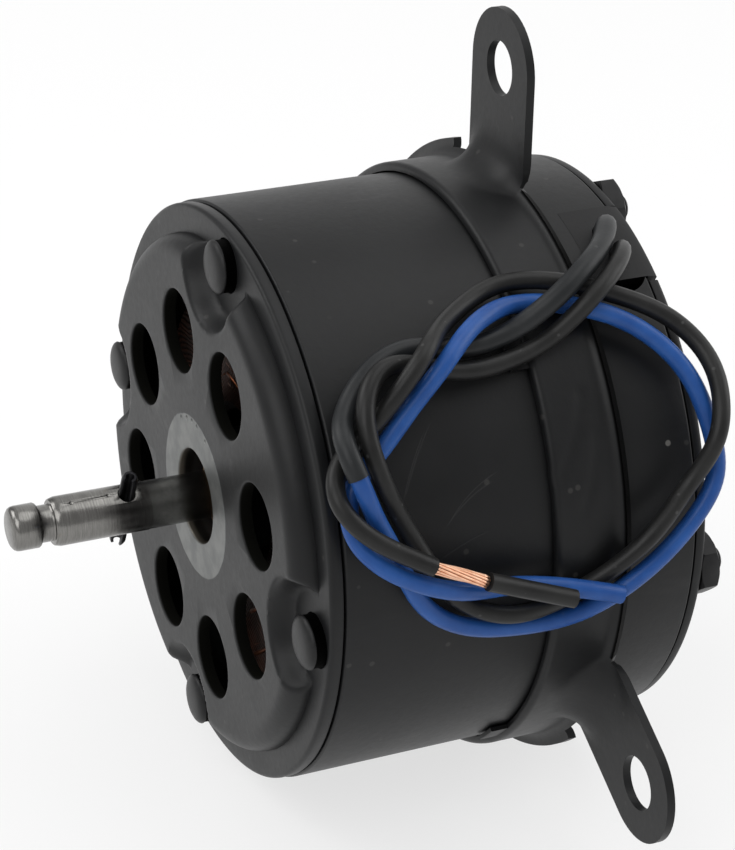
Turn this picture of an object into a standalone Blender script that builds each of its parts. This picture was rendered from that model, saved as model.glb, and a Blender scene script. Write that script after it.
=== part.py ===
"""Radiator fan motor with a strap mounting bracket.

The shaft lies along Y and points to -Y. The first bracket ear points to +Z.
The origin is on the shaft axis, in the plane of the front faces of the ears.
Angles turn about the shaft from +Z towards +X. Sizes are in millimetres.
"""
import math

import bmesh
import bpy
from mathutils import Matrix, Vector

MM = 0.001

# Fits
GAP = 0.3            # between touching parts
SLIP = 0.15          # radial room round a bolt or a lead on top of the gap
TINY = 0.02          # keeps faces of a cut and its part out of one plane

SHAFT_R = 4.0

# Steel can
CAN_R = 47.5
CAN_WALL = 1.5
CAN_REAR = 13.5

# Front cap, a pressed sheet
CAP_FRONT = -52.0
CAP_SHEET = 2.2
CAP_STEP = 3.7       # from the plateau down to the rim ring
CAP_RIM_R = CAN_R - 0.3
PLATEAU_R = CAN_R - 8.3
RIM_RING_R = PLATEAU_R + 3.4
PILOT_WALL = 0.9
PILOT_LENGTH = 2.6
BUSHING_WALL = 3.2
BEARING_SEAT_R = SHAFT_R + GAP + BUSHING_WALL + GAP
SEAT_WALL = 2.2
FRONT_SEAT_LENGTH = 14.0
BUSHING_DEPTH = 4.0  # from the face of the cap to the front bushing

# Vent holes
VENT_COUNT = 8
VENT_R = 6.87
VENT_CIRCLE_R = PLATEAU_R - 12.0
VENT_FIRST = -15.5

# Through bolts
BOLT_COUNT = 4
BOLT_CIRCLE_R = CAN_R - 5.5
BOLT_FIRST = 7.0
BOLT_R = 2.4
BOLT_END = 21.1
HEAD_R = 4.3
HEAD_H = 2.1
POCKET_R = 9.3       # at the floor, it widens towards the plateau
POCKET_FLARE = 1.5
NUT_FLATS = 9.5
NUT_H = 3.2

# Rear cap
REAR_SHEET = 1.8
REAR_STEP_R = BOLT_CIRCLE_R - 7.0
REAR_STEP = 3.2
REAR_CUP = 6.2

# Strap bracket, one pressed sheet
STRAP_SHEET = 1.4
STRAP_FRONT = -11.65
BEND_R = 2.1
FLANGE_R = CAN_R + 4.3
TRIM_ANGLE = 62.0    # part of the bend that is left where the flange is trimmed
EAR_COUNT = 3
EAR_W = 19.3
EAR_HOLE_R = 4.45
EAR_HOLE_CIRCLE_R = FLANGE_R + 14.5
NOTCH = 5.1          # degrees, relief beside an ear
TAB_COUNT = 4
TAB_FIRST = 46.0
TAB_ANGLE = 6.5
TAB_LENGTH = 3.0
TAB_SHEET = 0.7

# Shaft and its pin
SHAFT_TIP = -83.4
BUTTON_R = 3.65
BUTTON_END = -78.7
GROOVE_R = 3.0
GROOVE_END = -76.5
CHAMFER_END = -75.4
SHAFT_REAR = 22.4
PIN_Y = -64.2
PIN_R = 1.2
PIN_BORE = 0.6
PIN_SLOT = 0.5
PIN_HALF = 8.4
PIN_ANGLE = 26.0

# Rotor and magnets
MAGNET_T = 7.4
AIR_GAP = 0.7
CORE_R = CAN_R - CAN_WALL - GAP - 0.1 - MAGNET_T - AIR_GAP
CORE_FRONT = -33.0
CORE_REAR = -4.0
SLOT_COUNT = 12
SLOT_OPEN = 3.0
SLOT_TOP_R = CORE_R - 2.3
SLOT_ROOT_R = 17.5
TOOTH_W = 5.4
COIL_FRONT = -44.6
COIL_REAR = 1.0
COIL_IN_R = 13.0
COIL_OUT_R = SLOT_TOP_R - 0.2
MAGNET_ANGLE = 66.0
MAGNET_FRONT = -38.0
MAGNET_REAR = -1.0
COMM_R = 11.0
COMM_FRONT = 1.4
COMM_REAR = 11.4
COMM_BARS = 12
WASHER_R = 7.0
WASHER_H = 0.9

# Brush gear
CARD_FRONT = 2.0
CARD_T = 1.6
CARD_IN_R = 14.0
BRUSH_W = 6.0
BRUSH_H = 5.0
BRUSH_LENGTH = 12.0
HOLDER_WALL = 0.8
SPRING_LENGTH = 4.9
HOLDER_IN_R = COMM_R + 2.2
HOLDER_OUT_R = COMM_R + BRUSH_LENGTH + SPRING_LENGTH + 3 * GAP + HOLDER_WALL
BRUSH_ANGLES = (70.0, -20.0)

# Lead exit
EXIT_ANGLE = 25.5
HOOD_W = 15.8
HOOD_FRONT = 4.7
HOOD_LOW = CAN_R - 0.5    # height of the sloping top over the axis, front and rear
HOOD_HIGH = CAN_R + 0.9
HOOD_ROOT = CAN_R - 3.3
NECK_W = 12.4

# Leads
LEAD_R = 1.45
SLEEVE_R = 1.65
STRAND_R = 1.0
SLEEVE_POINTS = 12   # route points inside the sleeve
SLEEVE_SHARE = 0.85  # and how far it reaches towards the next one
LEAD_GAP = 0.4

BLUE_ROUTE = (
    (14.7, 10.5, 36.1), (18.2, 10.1, 43.1), (22.1, 8.5, 46.6), (27.2, 5.2, 46.6),
    (32.5, 0.2, 45.8), (35.6, -6.2, 42.8), (35.4, -13.7, 37.9), (35.8, -22.6, 36.4),
    (35, -31.5, 37.1), (37, -38.7, 35.2), (40.8, -43.7, 31.5), (45.9, -45.9, 29.3),
    (49.5, -44.9, 24.4), (49.5, -42.3, 18), (49.9, -38.7, 10.5), (50.3, -35.1, 3.2),
    (50.2, -28.3, -2.3), (50.2, -18.7, -4.5), (50.6, -8.5, -4.1), (52, 1.2, 1.2),
    (50.2, 11.1, 8.1), (48.9, 15.2, 14.3), (46.2, 15.2, 21.3), (41.8, 12.7, 29.3),
    (37.6, 7.6, 34.8), (34.5, -1.7, 39.1), (31.6, -10, 40), (33.9, -16.5, 40.7),
    (38, -23, 39.8), (41.9, -28.9, 36.7), (42.1, -33.6, 31.4), (43.9, -39.7, 25.7),
    (46.3, -44.9, 21.1), (48.5, -45.5, 15.8), (52.1, -42.2, 11.4), (53.8, -36.7, 8.3),
    (53.4, -29.2, 5.4), (51.3, -20.4, 3.4), (53.5, -11.7, 2.4), (54.5, -3.4, 0),
)
BLACK_ROUTE = (
    (18.4, 11.2, 34.4), (22.4, 10.8, 41.3), (26.6, 9, 44.2), (32.6, 4.9, 44.7),
    (37.1, -1.5, 42.1), (36.7, -7.6, 36.6), (37.9, -15.8, 34.1), (38.6, -25.1, 34.2),
    (38.8, -32, 36.5), (40, -37.6, 37), (43.1, -41.4, 34), (46.6, -42.2, 28.7),
    (48.4, -40.8, 23.2), (48.5, -37.5, 16), (50.2, -33.2, 7.9), (50.5, -28.7, 2.2),
    (52, -22, -0.8), (51.2, -13.4, -1.1), (50.7, -6.4, 0.8), (52.3, 3, 8.4),
    (49.8, 10.3, 14.4), (50.1, 14.1, 21.1), (46.9, 16.2, 26.6), (41.3, 16.4, 31.4),
    (36.4, 12.7, 35.8), (33.6, 4.7, 39.8), (30.5, -4.9, 42.4), (28.5, -13.3, 42.3),
    (31.2, -20.7, 41), (37, -27.4, 40.3), (42.1, -32.2, 39), (43, -36, 34.8),
    (42.4, -40.9, 28.9), (44.6, -46.2, 25.1), (48.7, -48, 21.7), (51.7, -45.3, 17.6),
    (54.3, -38.5, 13.2), (55, -35.4, 11.5), (55.5, -27, 7.7), (56.6, -12.6, 2.3),
)


def clear_scene():
    for obj in list(bpy.data.objects):
        bpy.data.objects.remove(obj, do_unlink=True)


def paint(name, color, rough, metal=0.0):
    mat = bpy.data.materials.new(name)
    mat.use_nodes = True
    node = mat.node_tree.nodes["Principled BSDF"]
    node.inputs["Base Color"].default_value = (*color, 1.0)
    node.inputs["Roughness"].default_value = rough
    node.inputs["Metallic"].default_value = metal
    return mat


def polar(radius, angle, y=0.0):
    a = math.radians(angle)
    return Vector((radius * math.sin(a), y, radius * math.cos(a)))


def spread(count, first):
    """The angles of count equal places round the shaft."""
    return [first + i * 360.0 / count for i in range(count)]


def finish(name, verts, faces, mat=None, smooth=35.0):
    """Makes one object from points in millimetres."""
    mesh = bpy.data.meshes.new(name)
    mesh.from_pydata([Vector(v) * MM for v in verts], [], faces)
    bm = bmesh.new()
    bm.from_mesh(mesh)
    bmesh.ops.remove_doubles(bm, verts=bm.verts, dist=1e-7)
    bmesh.ops.recalc_face_normals(bm, faces=bm.faces)
    bm.to_mesh(mesh)
    bm.free()
    obj = bpy.data.objects.new(name, mesh)
    bpy.context.scene.collection.objects.link(obj)
    if mat is not None:
        mesh.materials.append(mat)
    shade(obj, smooth)
    return obj


def shade(obj, angle=35.0):
    for poly in obj.data.polygons:
        poly.use_smooth = True
    obj.data.set_sharp_from_angle(angle=math.radians(angle))


def boolean(obj, other, operation, angle=35.0):
    """Joins or cuts two solids for good and removes the second."""
    mod = obj.modifiers.new("shape", "BOOLEAN")
    mod.operation = operation
    mod.solver = "EXACT"
    mod.object = other
    graph = bpy.context.evaluated_depsgraph_get()
    mesh = bpy.data.meshes.new_from_object(obj.evaluated_get(graph))
    obj.modifiers.remove(mod)
    old = obj.data
    obj.data = mesh
    bpy.data.meshes.remove(old)
    bpy.data.objects.remove(other, do_unlink=True)
    bm = bmesh.new()
    bm.from_mesh(obj.data)
    bmesh.ops.remove_doubles(bm, verts=bm.verts, dist=2e-7)
    bmesh.ops.dissolve_degenerate(bm, edges=bm.edges, dist=1e-7)
    bm.to_mesh(obj.data)
    bm.free()
    shade(obj, angle)
    return obj


def cut(obj, *others):
    for other in others:
        boolean(obj, other, "DIFFERENCE")
    return obj


def lathe(name, profile, mat=None, segments=96, smooth=35.0):
    """Turns a closed profile of (radius, y) about the shaft axis."""
    verts = []
    rings = []
    for radius, y in profile:
        if radius < 1e-6:
            rings.append([len(verts)] * segments)
            verts.append((0.0, y, 0.0))
            continue
        rings.append(list(range(len(verts), len(verts) + segments)))
        for i in range(segments):
            verts.append(polar(radius, 360.0 * i / segments, y))
    faces = []
    for a, b in zip(rings, rings[1:] + rings[:1]):
        for i in range(segments):
            j = (i + 1) % segments
            quad = [a[i], a[j], b[j], b[i]]
            face = list(dict.fromkeys(quad))
            if len(face) > 2:
                faces.append(face)
    return finish(name, verts, faces, mat, smooth)


def prism(name, outline, y0, y1, mat=None, smooth=35.0):
    """Pushes an outline of (x, z) from y0 to y1."""
    n = len(outline)
    verts = [(x, y0, z) for x, z in outline] + [(x, y1, z) for x, z in outline]
    faces = [list(range(n)), list(range(2 * n - 1, n - 1, -1))]
    for i in range(n):
        j = (i + 1) % n
        faces.append([i, i + n, j + n, j])
    return finish(name, verts, faces, mat, smooth)


def place(obj, angle, radius=0.0, y=0.0):
    """Puts a piece drawn at +Z where the angle points."""
    turn = Matrix.Rotation(math.radians(angle), 4, "Y")
    move = Matrix.Translation(polar(radius, angle, y) * MM)
    obj.data.transform(move @ turn)
    return obj


def block(name, across, along, height, mat=None):
    """A box from ranges of x, y and z."""
    verts = [(x, y, z) for x in across for y in along for z in height]
    faces = [(0, 1, 3, 2), (4, 6, 7, 5), (0, 4, 5, 1), (2, 3, 7, 6), (0, 2, 6, 4), (1, 5, 7, 3)]
    return finish(name, verts, faces, mat)


def rod(name, radius, y0, y1, mat=None, segments=24, end_radius=None):
    """A round bar or cone along Y."""
    tip = radius if end_radius is None else end_radius
    return lathe(name, [(0, y0), (radius, y0), (tip, y1), (0, y1)], mat, segments)


def post(name, radius, z0, z1, mat=None, segments=20):
    """A round bar along Z."""
    obj = rod(name, radius, z0, z1, mat, segments)
    obj.data.transform(Matrix.Rotation(math.radians(90), 4, "X"))
    return obj


def ring_sector(name, r0, r1, y0, y1, start, end, mat=None, steps=20):
    outline = [polar(r1, start + (end - start) * i / steps) for i in range(steps + 1)]
    outline += [polar(r0, end + (start - end) * i / steps) for i in range(steps + 1)]
    return prism(name, [(p.x, p.z) for p in outline], y0, y1, mat)


def arc(cx, cy, radius, start, end, steps):
    """Points (radius, y) on an arc, angles from +radius towards +y."""
    points = []
    for i in range(steps + 1):
        a = math.radians(start + (end - start) * i / steps)
        points.append((cx + radius * math.cos(a), cy + radius * math.sin(a)))
    return points


def bolt_places():
    return spread(BOLT_COUNT, BOLT_FIRST)


def cap_back():
    """Plane where the rim of the front cap meets the can."""
    return CAP_FRONT + CAP_STEP + CAP_SHEET


def can_inner():
    return CAN_R - CAN_WALL


def make_front_cap(black):
    rim_y = CAP_FRONT + CAP_STEP
    back = cap_back()
    inside = CAP_FRONT + CAP_SHEET
    pilot = can_inner() - GAP
    edge = [(PLATEAU_R + (RIM_RING_R - PLATEAU_R) * math.sin(math.radians(t)),
             rim_y - CAP_STEP * math.cos(math.radians(t))) for t in (0, 30, 60, 90)]
    under = [(x - CAP_SHEET * 0.75, y + CAP_SHEET) for x, y in reversed(edge)]
    profile = [(BEARING_SEAT_R, CAP_FRONT)]
    profile += edge
    profile += arc(CAP_RIM_R - 0.8, rim_y + 0.8, 0.8, -90, 0, 3)
    profile += [(CAP_RIM_R, back), (pilot, back), (pilot, back + PILOT_LENGTH)]
    profile += [(pilot - PILOT_WALL, back + PILOT_LENGTH), (pilot - PILOT_WALL, back)]
    profile += under
    seat_out = BEARING_SEAT_R + SEAT_WALL
    seat_end = CAP_FRONT + FRONT_SEAT_LENGTH
    profile += [(seat_out, inside), (seat_out, seat_end), (BEARING_SEAT_R, seat_end)]
    cap = lathe("front_cap", profile, black, 64)
    top = CAP_FRONT - 1.0
    grow = POCKET_FLARE * (rim_y - top) / CAP_STEP
    for angle in bolt_places():
        dish = rod("dish", POCKET_R + CAP_SHEET, back, inside, segments=20,
                   end_radius=POCKET_R + POCKET_FLARE + CAP_SHEET * 0.6)
        place(dish, angle, BOLT_CIRCLE_R)
        boolean(dish, rod("keep", pilot - PILOT_WALL + TINY, inside - 5, back + 5, segments=64),
                "INTERSECT")
        boolean(cap, dish, "UNION")
    for angle in bolt_places():
        pocket = rod("pocket", POCKET_R, rim_y - TINY, top, segments=20,
                     end_radius=POCKET_R + grow)
        hole = rod("hole", BOLT_R + GAP, top, back + 1, segments=20)
        cut(cap, place(pocket, angle, BOLT_CIRCLE_R), place(hole, angle, BOLT_CIRCLE_R))
    for angle in spread(VENT_COUNT, VENT_FIRST):
        hole = rod("vent", VENT_R, top, inside + 1, segments=24)
        cut(cap, place(hole, angle, VENT_CIRCLE_R))
    return cap


def make_rear_cap(black):
    face = CAN_REAR + GAP
    rear = face + REAR_SHEET
    pilot = can_inner() - GAP
    seat_out = BEARING_SEAT_R + SEAT_WALL
    high = rear + REAR_STEP
    cup = high + REAR_CUP
    seat_in = COMM_REAR + WASHER_H + 3 * GAP
    profile = [(0, cup), (seat_out - 1.6, cup), (seat_out - 0.4, cup - 0.5), (seat_out, cup - 1.6)]
    profile += [(seat_out, high + 1.2), (seat_out + 1.2, high), (REAR_STEP_R - 2.0, high)]
    profile += [(REAR_STEP_R - 0.6, high - 0.6), (REAR_STEP_R + 1.0, rear)]
    profile += arc(CAP_RIM_R - 0.6, rear - 0.6, 0.6, 90, 0, 3)
    profile += [(CAP_RIM_R, face), (pilot, face), (pilot, face - PILOT_LENGTH)]
    profile += [(pilot - PILOT_WALL, face - PILOT_LENGTH), (pilot - PILOT_WALL, face)]
    profile += [(REAR_STEP_R - 0.2, face), (REAR_STEP_R - 2.4, high - REAR_SHEET)]
    profile += [(seat_out - 0.2, high - REAR_SHEET), (seat_out - 0.2, seat_in)]
    profile += [(BEARING_SEAT_R, seat_in), (BEARING_SEAT_R, cup - 1.6), (0, cup - 1.6)]
    cap = lathe("rear_cap", profile, black, 48)
    for angle in bolt_places():
        hole = rod("hole", BOLT_R + GAP, face - 2, rear + 2, segments=20)
        cut(cap, place(hole, angle, BOLT_CIRCLE_R))
    half = HOOD_W / 2 + GAP
    notch = block("notch", (-half, half), (face - 6, rear + 1), (HOOD_ROOT - GAP, CAN_R + 2))
    cut(cap, place(notch, EXIT_ANGLE))
    return cap


def make_can(black):
    front = cap_back() + GAP
    inner = can_inner()
    can = lathe("can", [(inner, front), (CAN_R, front), (CAN_R, CAN_REAR), (inner, CAN_REAR)],
                black, 64)
    half = NECK_W / 2 + GAP
    notch = block("notch", (-half, half), (HOOD_FRONT + 0.5, CAN_REAR + 2), (inner - 6, CAN_R + 5))
    cut(can, place(notch, EXIT_ANGLE))
    return can


def make_grommet(rubber):
    face = CAN_REAR + GAP
    rear = face + REAR_SHEET
    half = HOOD_W / 2
    high = HOOD_HIGH
    side = [(HOOD_FRONT, HOOD_ROOT), (HOOD_FRONT, HOOD_LOW), (rear, high), (rear, HOOD_ROOT)]
    verts = [(x, y, z) for x in (-half, half) for y, z in side]
    faces = [(0, 1, 2, 3), (4, 7, 6, 5), (0, 4, 5, 1), (1, 5, 6, 2), (2, 6, 7, 3), (3, 7, 4, 0)]
    body = finish("grommet", verts, faces, rubber)
    wall = lathe("wall", [(can_inner() - GAP, -10), (CAN_R + GAP, -10), (CAN_R + GAP, face),
                          (can_inner() - GAP, face)], segments=96)
    neck = NECK_W / 2
    window = block("window", (-neck, neck), (HOOD_FRONT + 0.5 + GAP, CAN_REAR + 10),
                   (can_inner() - 10, CAN_R + 10))
    cut(wall, place(window, EXIT_ANGLE))
    place(body, EXIT_ANGLE)
    cut(body, wall)
    slot = block("slot", (half - 2.6, half + 2), (HOOD_FRONT - 1, rear - 1.8),
                 (CAN_R - 1.4, HOOD_HIGH - 0.75))
    cut(body, place(slot, EXIT_ANGLE))
    for route, radius in ((BLUE_ROUTE, SLEEVE_R), (BLACK_ROUTE, LEAD_R)):
        curve = tube("hole", route[:4], radius + GAP + SLIP)
        cut(body, as_mesh(curve))
    return body


def make_bracket(black):
    """Strap, bend and flange are cells of one grid, the ears are added plates."""
    inner = CAN_R + GAP
    outer = inner + STRAP_SHEET
    ear_front = 0.0
    ear_back = STRAP_SHEET
    turn_r = outer + BEND_R
    turn_y = ear_front - BEND_R
    tab_line = [((inner + TAB_SHEET, STRAP_FRONT - TAB_LENGTH), (inner, STRAP_FRONT - TAB_LENGTH)),
                ((inner + TAB_SHEET, STRAP_FRONT - 0.5), (inner, STRAP_FRONT - 0.5))]
    edge = STRAP_FRONT
    stations = tab_line + [((outer - 0.35, edge), (inner, edge)), ((outer, edge + 0.4), (inner, edge + 0.4)),
                           ((outer, (edge + turn_y) / 2), (inner, (edge + turn_y) / 2)),
                           ((outer, turn_y), (inner, turn_y))]
    for t in (22.0, TRIM_ANGLE, 90.0):
        a = math.radians(t)
        wide = BEND_R + STRAP_SHEET
        stations.append(((turn_r - BEND_R * math.cos(a), turn_y + BEND_R * math.sin(a)),
                         (turn_r - wide * math.cos(a), turn_y + wide * math.sin(a))))
    stations.append(((FLANGE_R, ear_front), (FLANGE_R, ear_back)))
    last = len(stations) - 1
    bend_end = last - 1
    trim = bend_end - 1
    start = len(tab_line)
    ears = spread(EAR_COUNT, 0.0)
    half = math.degrees(math.asin(EAR_W / 2 / turn_r))
    special = {}
    for ear in ears:
        special[ear - half] = 1
        special[ear + half] = 1
    special[-half - NOTCH] = 1
    special[ears[1] + half + NOTCH] = 1
    tabs = spread(TAB_COUNT, TAB_FIRST)
    for tab in tabs:
        special[tab - TAB_ANGLE / 2] = 1
        special[tab + TAB_ANGLE / 2] = 1
    exact = sorted(a % 360.0 for a in special)
    columns = [a for a in (i * 5.0 for i in range(72))
               if all(abs((a - b + 180) % 360 - 180) > 1.8 for b in exact)]
    columns = sorted(columns + exact)
    n = len(columns)

    def within(angle, a, b):
        return (angle - a) % 360.0 < (b - a) % 360.0

    def reach(i):
        """First and last station of the cells right of column i."""
        width = (columns[(i + 1) % n] - columns[i]) % 360.0
        mid = columns[i] + width / 2
        low = start
        for tab in tabs:
            if within(mid, tab - TAB_ANGLE / 2, tab + TAB_ANGLE / 2):
                low = 0
        if any(within(mid, ear - half, ear + half) for ear in ears):
            return low, bend_end
        if within(mid, -half - NOTCH, ears[1] + half + NOTCH):
            return low, trim
        return low, last

    verts = []
    index = {}

    def vert(i, j, side):
        key = (i % n, j, side)
        if key not in index:
            index[key] = len(verts)
            radius, y = stations[j][side]
            verts.append(polar(radius, columns[i % n], y))
        return index[key]

    faces = []
    for i in range(n):
        low, high = reach(i)
        before = reach((i - 1) % n)
        after = reach((i + 1) % n)
        for j in range(low, high):
            faces.append([vert(i, j, 0), vert(i + 1, j, 0), vert(i + 1, j + 1, 0), vert(i, j + 1, 0)])
            faces.append([vert(i, j, 1), vert(i, j + 1, 1), vert(i + 1, j + 1, 1), vert(i + 1, j, 1)])
            if not before[0] <= j < before[1]:
                faces.append([vert(i, j, 0), vert(i, j + 1, 0), vert(i, j + 1, 1), vert(i, j, 1)])
            if not after[0] <= j < after[1]:
                faces.append([vert(i + 1, j, 0), vert(i + 1, j, 1), vert(i + 1, j + 1, 1),
                              vert(i + 1, j + 1, 0)])
        faces.append([vert(i, low, 0), vert(i, low, 1), vert(i + 1, low, 1), vert(i + 1, low, 0)])
        if high != bend_end:
            faces.append([vert(i, high, 0), vert(i + 1, high, 0), vert(i + 1, high, 1),
                          vert(i, high, 1)])
    for ear in ears:
        at_left = min(range(n), key=lambda k: abs((columns[k] - ear + half + 180) % 360 - 180))
        at_right = min(range(n), key=lambda k: abs((columns[k] - ear - half + 180) % 360 - 180))
        count = (at_right - at_left) % n
        root = [at_left + k for k in range(count + 1)]
        rim = []
        for side, y in ((0, ear_front), (1, ear_back)):
            line = []
            for t in range(0, 181, 12):
                a = math.radians(t)
                spot = Vector((EAR_W / 2 * math.cos(a), y, EAR_HOLE_CIRCLE_R + EAR_W / 2 * math.sin(a)))
                spot = Matrix.Rotation(math.radians(ear), 3, "Y") @ spot
                line.append(len(verts))
                verts.append(spot)
            rim.append(line)
            faces.append([vert(k, bend_end, side) for k in root] + line)
        edge = list(range(len(rim[0]) - 1))
        for k in edge:
            faces.append([rim[0][k], rim[1][k], rim[1][k + 1], rim[0][k + 1]])
        for k, r in ((at_right, 0), (at_left, -1)):
            faces.append([vert(k, bend_end, 0), rim[0][r], rim[1][r], vert(k, bend_end, 1)])
    bracket = finish("strap_bracket", verts, faces, black)
    for ear in ears:
        hole = rod("hole", EAR_HOLE_R, -2, 4, segments=28)
        cut(bracket, place(hole, ear, EAR_HOLE_CIRCLE_R))
    return bracket


def make_bolts(steel):
    seat = CAP_FRONT + CAP_STEP - TINY
    under = seat - GAP
    rear = CAN_REAR + GAP + REAR_SHEET + GAP
    for i, angle in enumerate(bolt_places()):
        top = under - HEAD_H
        dome = [(0, top), (HEAD_R * 0.45, top + 0.12), (HEAD_R * 0.75, top + 0.45),
                (HEAD_R * 0.94, top + 1.0), (HEAD_R, top + 1.6), (HEAD_R, under)]
        shank = [(BOLT_R, under), (BOLT_R, BOLT_END - 0.6), (BOLT_R - 0.5, BOLT_END), (0, BOLT_END)]
        bolt = lathe("through_bolt_%d" % (i + 1), dome + shank, steel, 16)
        place(bolt, angle, BOLT_CIRCLE_R)
        flats = NUT_FLATS / 2 / math.cos(math.radians(30))
        outline = [polar(flats, 60 * k) for k in range(6)]
        nut = prism("nut_%d" % (i + 1), [(p.x, p.z) for p in outline], rear, rear + NUT_H, steel)
        cut(nut, rod("bore", BOLT_R + GAP, rear - 1, rear + NUT_H + 1, segments=24))
        place(nut, angle, BOLT_CIRCLE_R)


def make_shaft(steel):
    profile = [(0, SHAFT_TIP), (BUTTON_R - 0.9, SHAFT_TIP + 0.1), (BUTTON_R, SHAFT_TIP + 0.9),
               (BUTTON_R, BUTTON_END), (GROOVE_R, BUTTON_END), (GROOVE_R, GROOVE_END),
               (SHAFT_R - 0.4, GROOVE_END), (SHAFT_R, CHAMFER_END),
               (SHAFT_R, SHAFT_REAR - 0.6), (SHAFT_R - 0.6, SHAFT_REAR), (0, SHAFT_REAR)]
    shaft = lathe("shaft", profile, steel, 32)
    hole = post("hole", PIN_R + GAP, -10, 10)
    cut(shaft, place(hole, PIN_ANGLE, 0.0, PIN_Y))
    return shaft


def make_pin(dark):
    outline = []
    gap = math.degrees(math.asin(PIN_SLOT / 2 / PIN_R))
    for k in range(17):
        outline.append(polar(PIN_R, gap + (360 - 2 * gap) * k / 16))
    for k in range(16, -1, -1):
        outline.append(polar(PIN_BORE, gap + (360 - 2 * gap) * k / 16))
    pin = prism("spring_pin", [(p.x, p.z) for p in outline], -PIN_HALF, PIN_HALF, dark)
    pin.data.transform(Matrix.Rotation(math.radians(90), 4, "X"))
    return place(pin, PIN_ANGLE, 0.0, PIN_Y)


def slot_outline(shrink):
    """Half of a slot or of the coil side in it, as (x, z) right of the centre line."""
    half = math.pi / SLOT_COUNT

    def side(radius):
        return radius * math.tan(half) - TOOTH_W / 2 / math.cos(half) - shrink

    low = SLOT_ROOT_R + shrink
    high = SLOT_TOP_R - shrink
    return [(max(side(low), 0.8), low), (side(high), high)]


def make_core(iron):
    outline = []
    for i in range(SLOT_COUNT):
        middle = 360.0 / SLOT_COUNT * i
        pitch = 360.0 / SLOT_COUNT
        mouth = math.degrees(math.asin(SLOT_OPEN / 2 / CORE_R))
        for t in (-pitch / 2, -pitch / 4):
            outline.append(polar(CORE_R, middle + t))
        outline.append(polar(CORE_R, middle - mouth))
        right = slot_outline(0.0)
        turn = Matrix.Rotation(math.radians(middle), 3, "Y")
        shape = [(-SLOT_OPEN / 2, SLOT_TOP_R + 0.9), (-right[1][0], SLOT_TOP_R),
                 (-right[0][0], right[0][1]), (right[0][0], right[0][1]),
                 (right[1][0], SLOT_TOP_R), (SLOT_OPEN / 2, SLOT_TOP_R + 0.9)]
        outline += [turn @ Vector((x, 0, z)) for x, z in shape]
        outline.append(polar(CORE_R, middle + mouth))
        outline.append(polar(CORE_R, middle + pitch / 4))
    core = prism("armature_core", [(p.x, p.z) for p in outline], CORE_FRONT, CORE_REAR, iron)
    return cut(core, rod("bore", SHAFT_R + GAP, CORE_FRONT - 1, CORE_REAR + 1, segments=48))


def make_windings(copper):
    """End turns front and rear, joined by a coil side in every slot."""
    def end_turns(name, y0, y1, outer):
        mid = (y0 + y1) / 2
        profile = [(COIL_IN_R, y0 + 1.5), (COIL_IN_R + 1.5, y0), (outer - 2.5, y0), (outer, mid)]
        profile += [(outer, y1), (COIL_IN_R, y1)]
        return lathe(name, profile, copper, 36)

    coils = end_turns("windings", COIL_FRONT, CORE_FRONT - GAP, COIL_OUT_R)
    rear = [(COIL_IN_R, CORE_REAR + GAP), (COIL_OUT_R, CORE_REAR + GAP), (COIL_OUT_R, COIL_REAR - 1.5),
            (COIL_OUT_R - 1.5, COIL_REAR), (COIL_IN_R + 1.5, COIL_REAR), (COIL_IN_R, COIL_REAR - 1.5)]
    right = slot_outline(GAP)
    shape = right + [(-x, z) for x, z in reversed(right)]
    for i in range(SLOT_COUNT):
        bar = prism("bar", shape, CORE_FRONT - 1.2, CORE_REAR + 1.2)
        boolean(coils, place(bar, 360.0 / SLOT_COUNT * i), "UNION")
    boolean(coils, lathe("rear", rear, None, 36), "UNION")
    return coils


def make_commutator(copper):
    body = lathe("commutator", [(SHAFT_R + GAP, COMM_FRONT), (COMM_R + 1.2, COMM_FRONT),
                                (COMM_R + 1.2, COMM_FRONT + 1.4), (COMM_R, COMM_FRONT + 1.4),
                                (COMM_R, COMM_REAR), (SHAFT_R + GAP, COMM_REAR)], copper, 36)
    for i in range(COMM_BARS):
        slot = block("slot", (-0.3, 0.3), (COMM_FRONT - 1, COMM_REAR + 1), (COMM_R - 1.2, COMM_R + 3))
        cut(body, place(slot, 360.0 / COMM_BARS * (i + 0.5)))
    return body


def make_bearings(bronze, steel, nylon):
    inner = SHAFT_R + GAP
    outer = BEARING_SEAT_R - GAP
    front = CAP_FRONT + BUSHING_DEPTH
    front_end = CAP_FRONT + FRONT_SEAT_LENGTH - 1.4
    rear_start = COMM_REAR + WASHER_H + 3 * GAP + 1.4
    rear_end = SHAFT_REAR - 1.0
    for name, y0, y1 in (("front_bushing", front, front_end), ("rear_bushing", rear_start, rear_end)):
        bevel = 0.5
        lathe(name, [(inner + bevel, y0), (outer - bevel, y0), (outer, y0 + bevel), (outer, y1 - bevel),
                     (outer - bevel, y1), (inner + bevel, y1), (inner, y1 - bevel),
                     (inner, y0 + bevel)], bronze, 24)
    for name, y0 in (("front_retainer", front_end + GAP), ("rear_retainer", rear_start - GAP - 0.6)):
        lathe(name, [(inner + 0.8, y0), (outer, y0), (outer, y0 + 0.6), (inner + 0.8, y0 + 0.6)],
              steel, 24)
    seat_end = CAP_FRONT + FRONT_SEAT_LENGTH
    for name, y0 in (("front_washer", seat_end + 2 * GAP), ("rear_washer", COMM_REAR + GAP)):
        lathe(name, [(inner, y0), (WASHER_R, y0), (WASHER_R, y0 + WASHER_H), (inner, y0 + WASHER_H)],
              nylon, 24)


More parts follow.
